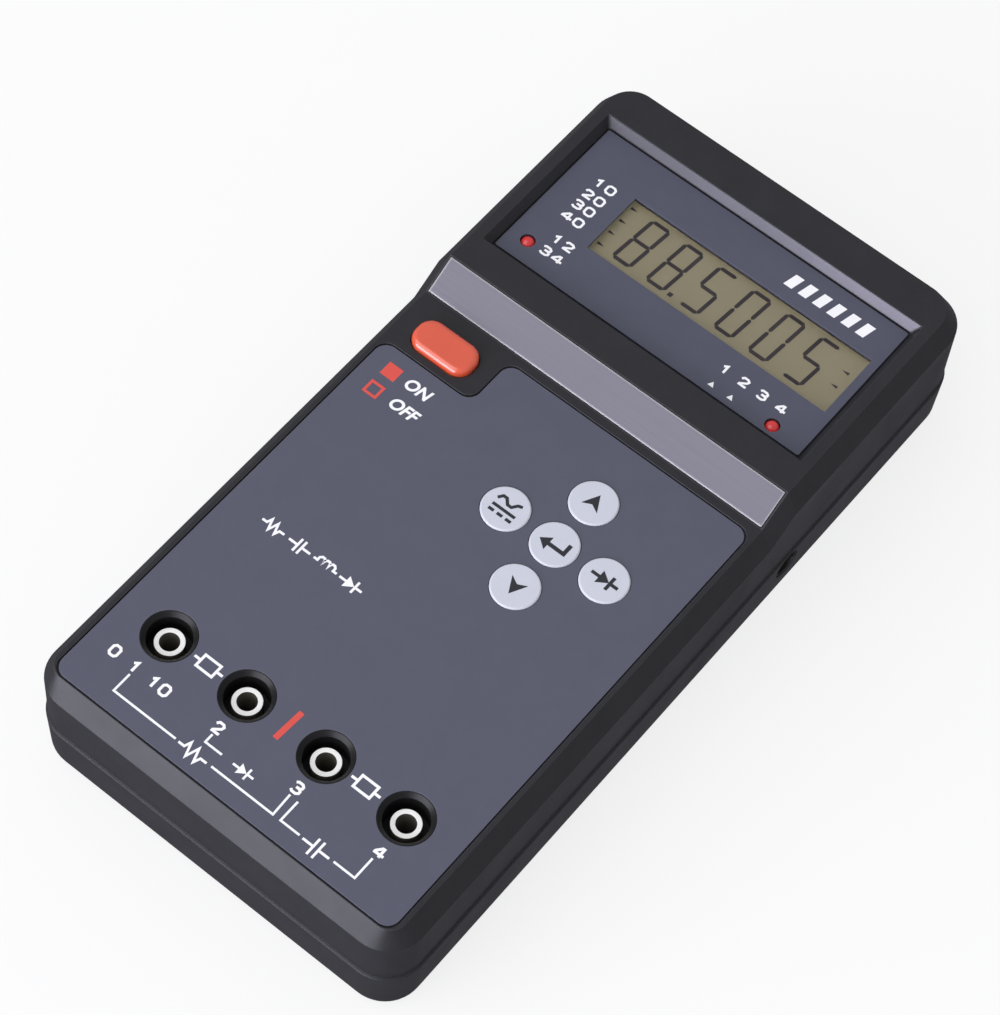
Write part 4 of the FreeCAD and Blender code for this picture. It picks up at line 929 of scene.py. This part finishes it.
plate_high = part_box("display_panel")[1]
wall_foot = Vector((0, plate_high.y + PLATE_GAP * MM, plate_high.z))
outward = Vector((0, -WALL_RISE.z, WALL_RISE.y)).normalized() * BAND_THICK * MM
mesh = bmesh.new()
spots = []
for share, x in BAND_CORNERS:
    spots.append(mesh.verts.new(wall_foot + WALL_RISE * share + Vector((x * MM, 0, 0))))
thicken(mesh, [mesh.faces.new(spots)], outward)
bmesh.ops.recalc_face_normals(mesh, faces=mesh.faces)
band = make_piece("silver_band", mesh, finishes["band_silver_painted_shade"])
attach(band, "case")
print("silver band is", round(band.dimensions.x / MM, 1), "mm long")

# %% [markdown]
# ## Arrow on the battery door
# A sliding door has an arrow moulded into it that shows which way it comes off. The tool cuts it a
# fraction of a millimetre deep, so here it stands proud by that much, in the plastic of the door, and
# slides with the door.

# %% Door arrow
ARROW_RISE = 0.2
ARROW_INSET = 5.0
ARROW_LONG = 5.0
ARROW_HALF = 3.2

door_low, door_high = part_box("battery_door")
tip = door_high.y / MM - ARROW_INSET
arrow = [(0, tip), (-ARROW_HALF, tip - ARROW_LONG), (ARROW_HALF, tip - ARROW_LONG)]
arrow_level = door_low.z / MM - ARROW_RISE
piece = printed("door_arrow", [[arrow]], arrow_level, finishes["case_plastic"], "battery_door", ARROW_RISE)

# %% [markdown]
# ## The table and the light
# Catalogue pictures are often taken on a milky sheet lit from below, which keeps the ground white and
# the shadow faint. The table here does the same: it glows a little and also takes the light from above.
# Seen from below it is clear, so the underside of the case can be looked at too.

# %% Table sheet
shader = blank("table_sheet")
tree = shader.id_data
milk = noise(tree, object_place(tree), 6.0, detail=2.0)
fill(shader, {"Base Color": mixed(tree, milk, grey(0.135), grey(0.15)), "Roughness": 0.8})
glow(shader, grey(1.0), 0.78)
below = add(tree, "NewGeometry").outputs["Backfacing"]
gone = add(tree, "BsdfTransparent").outputs[0]
seen = add(tree, "MixShader", {0: below, 1: shader.outputs[0], 2: gone}).outputs[0]
fill(tree.nodes["Material Output"], {"Surface": seen})
print("table finish:", finishes["table_sheet"].name)

# %% [markdown]
# The table stays out of the mirror reflections, so that the dark case mirrors a dim room and not a
# white sheet. It lies a hair below the feet, because two faces in one plane would flicker.

# %% Table
TABLE_HALF = 3.0
TABLE_DROP = 0.2

mesh = bmesh.new()
bmesh.ops.create_grid(mesh, x_segments=8, y_segments=8, size=TABLE_HALF)
table = make_piece("table", mesh, finishes["table_sheet"])
table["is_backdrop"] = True
table.location.z = -TABLE_DROP * MM
table.visible_glossy = False
print("table is", round(table.dimensions.x, 1), "m wide")

# %% [markdown]
# One lamp alone would throw a hard shadow, and an even sky would leave the case flat. So a broad sun
# comes from the front left, and a wide soft box stands low in front, whose mirror image is the bright
# band along the front bevel and on the red cap.

# %% Lamps
def lamp(name, kind, stand, aim, power, **shape):
    """A lamp at a place in metres that looks at another."""
    light = bpy.data.lights.new(name, kind)
    light.energy = power
    for key, value in shape.items():
        setattr(light, key, value)
    holder = bpy.data.objects.new(name, light)
    holder.location = stand
    holder.rotation_mode = "QUATERNION"
    holder.rotation_quaternion = (Vector(aim) - Vector(stand)).to_track_quat("-Z", "Y")
    holder.visible_camera = False
    scene.collection.objects.link(holder)


lamp("broad_sun", "SUN", (-0.5, -0.7, 1.2), (0, 0, 0), 1.0, angle=math.radians(60))
lamp("front_box", "AREA", (-0.2, -0.9, 0.1), (-0.05, 0, 0.03), 17.6,
     shape="RECTANGLE", size=1.1, size_y=0.9, color=(0.87, 0.875, 1.0))

# %% [markdown]
# The sky is bright where it lights the table and dim where it is mirrored, dimmest below. The right
# wall of the case mirrors what lies low on the far right, so a faint pool of light stands there.

# %% Sky
SKY_STRENGTH = 0.78
SKY_TINT = (0.98, 0.98, 1.0)
MIRRORED_TINT = (0.88, 0.88, 1.0)
POOL_WAY = (0.3, 0.42, -0.86)
POOL_STRENGTH = 0.05

sky = bpy.data.worlds.new("pale_sky")
sky.use_nodes = True
tree = sky.node_tree
ray = add(tree, "TexCoord").outputs["Generated"]
height = add(tree, "SeparateXYZ", {0: ray}).outputs["Z"]
dim = remap(tree, height, -0.4, 0.4, 0.15, 0.45)
nearness = add(tree, "VectorMath", {0: ray, 1: POOL_WAY}, operation="DOT_PRODUCT").outputs["Value"]
pool = remap(tree, nearness, 0.75, 1.0, 0.0, POOL_STRENGTH)
mirrored = add(tree, "Math", {0: dim, 1: pool}, operation="ADD").outputs[0]
mirror_ray = add(tree, "LightPath").outputs["Is Glossy Ray"]
fill(tree.nodes["Background"], {
    "Strength": add(tree, "Mix", {0: mirror_ray, 2: SKY_STRENGTH, 3: mirrored}).outputs[0],
    "Color": mixed(tree, mirror_ray, SKY_TINT, MIRRORED_TINT),
})
scene.world = sky
scene.view_settings.view_transform = "Standard"
print("sky:", sky.name, "with", len(tree.nodes), "nodes")

# %% [markdown]
# ## Measure and finish
# Dressing must not make the tester larger. The box of the dressed model is measured against the box of
# the imported one, and the largest difference is printed.

# %% Size and finish
new_low, new_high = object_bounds()
growth = [abs(new - old) for new, old in zip((*new_low, *new_high), (*cad_low, *cad_high))]
print("grown by", max(growth) / MM, "mm")
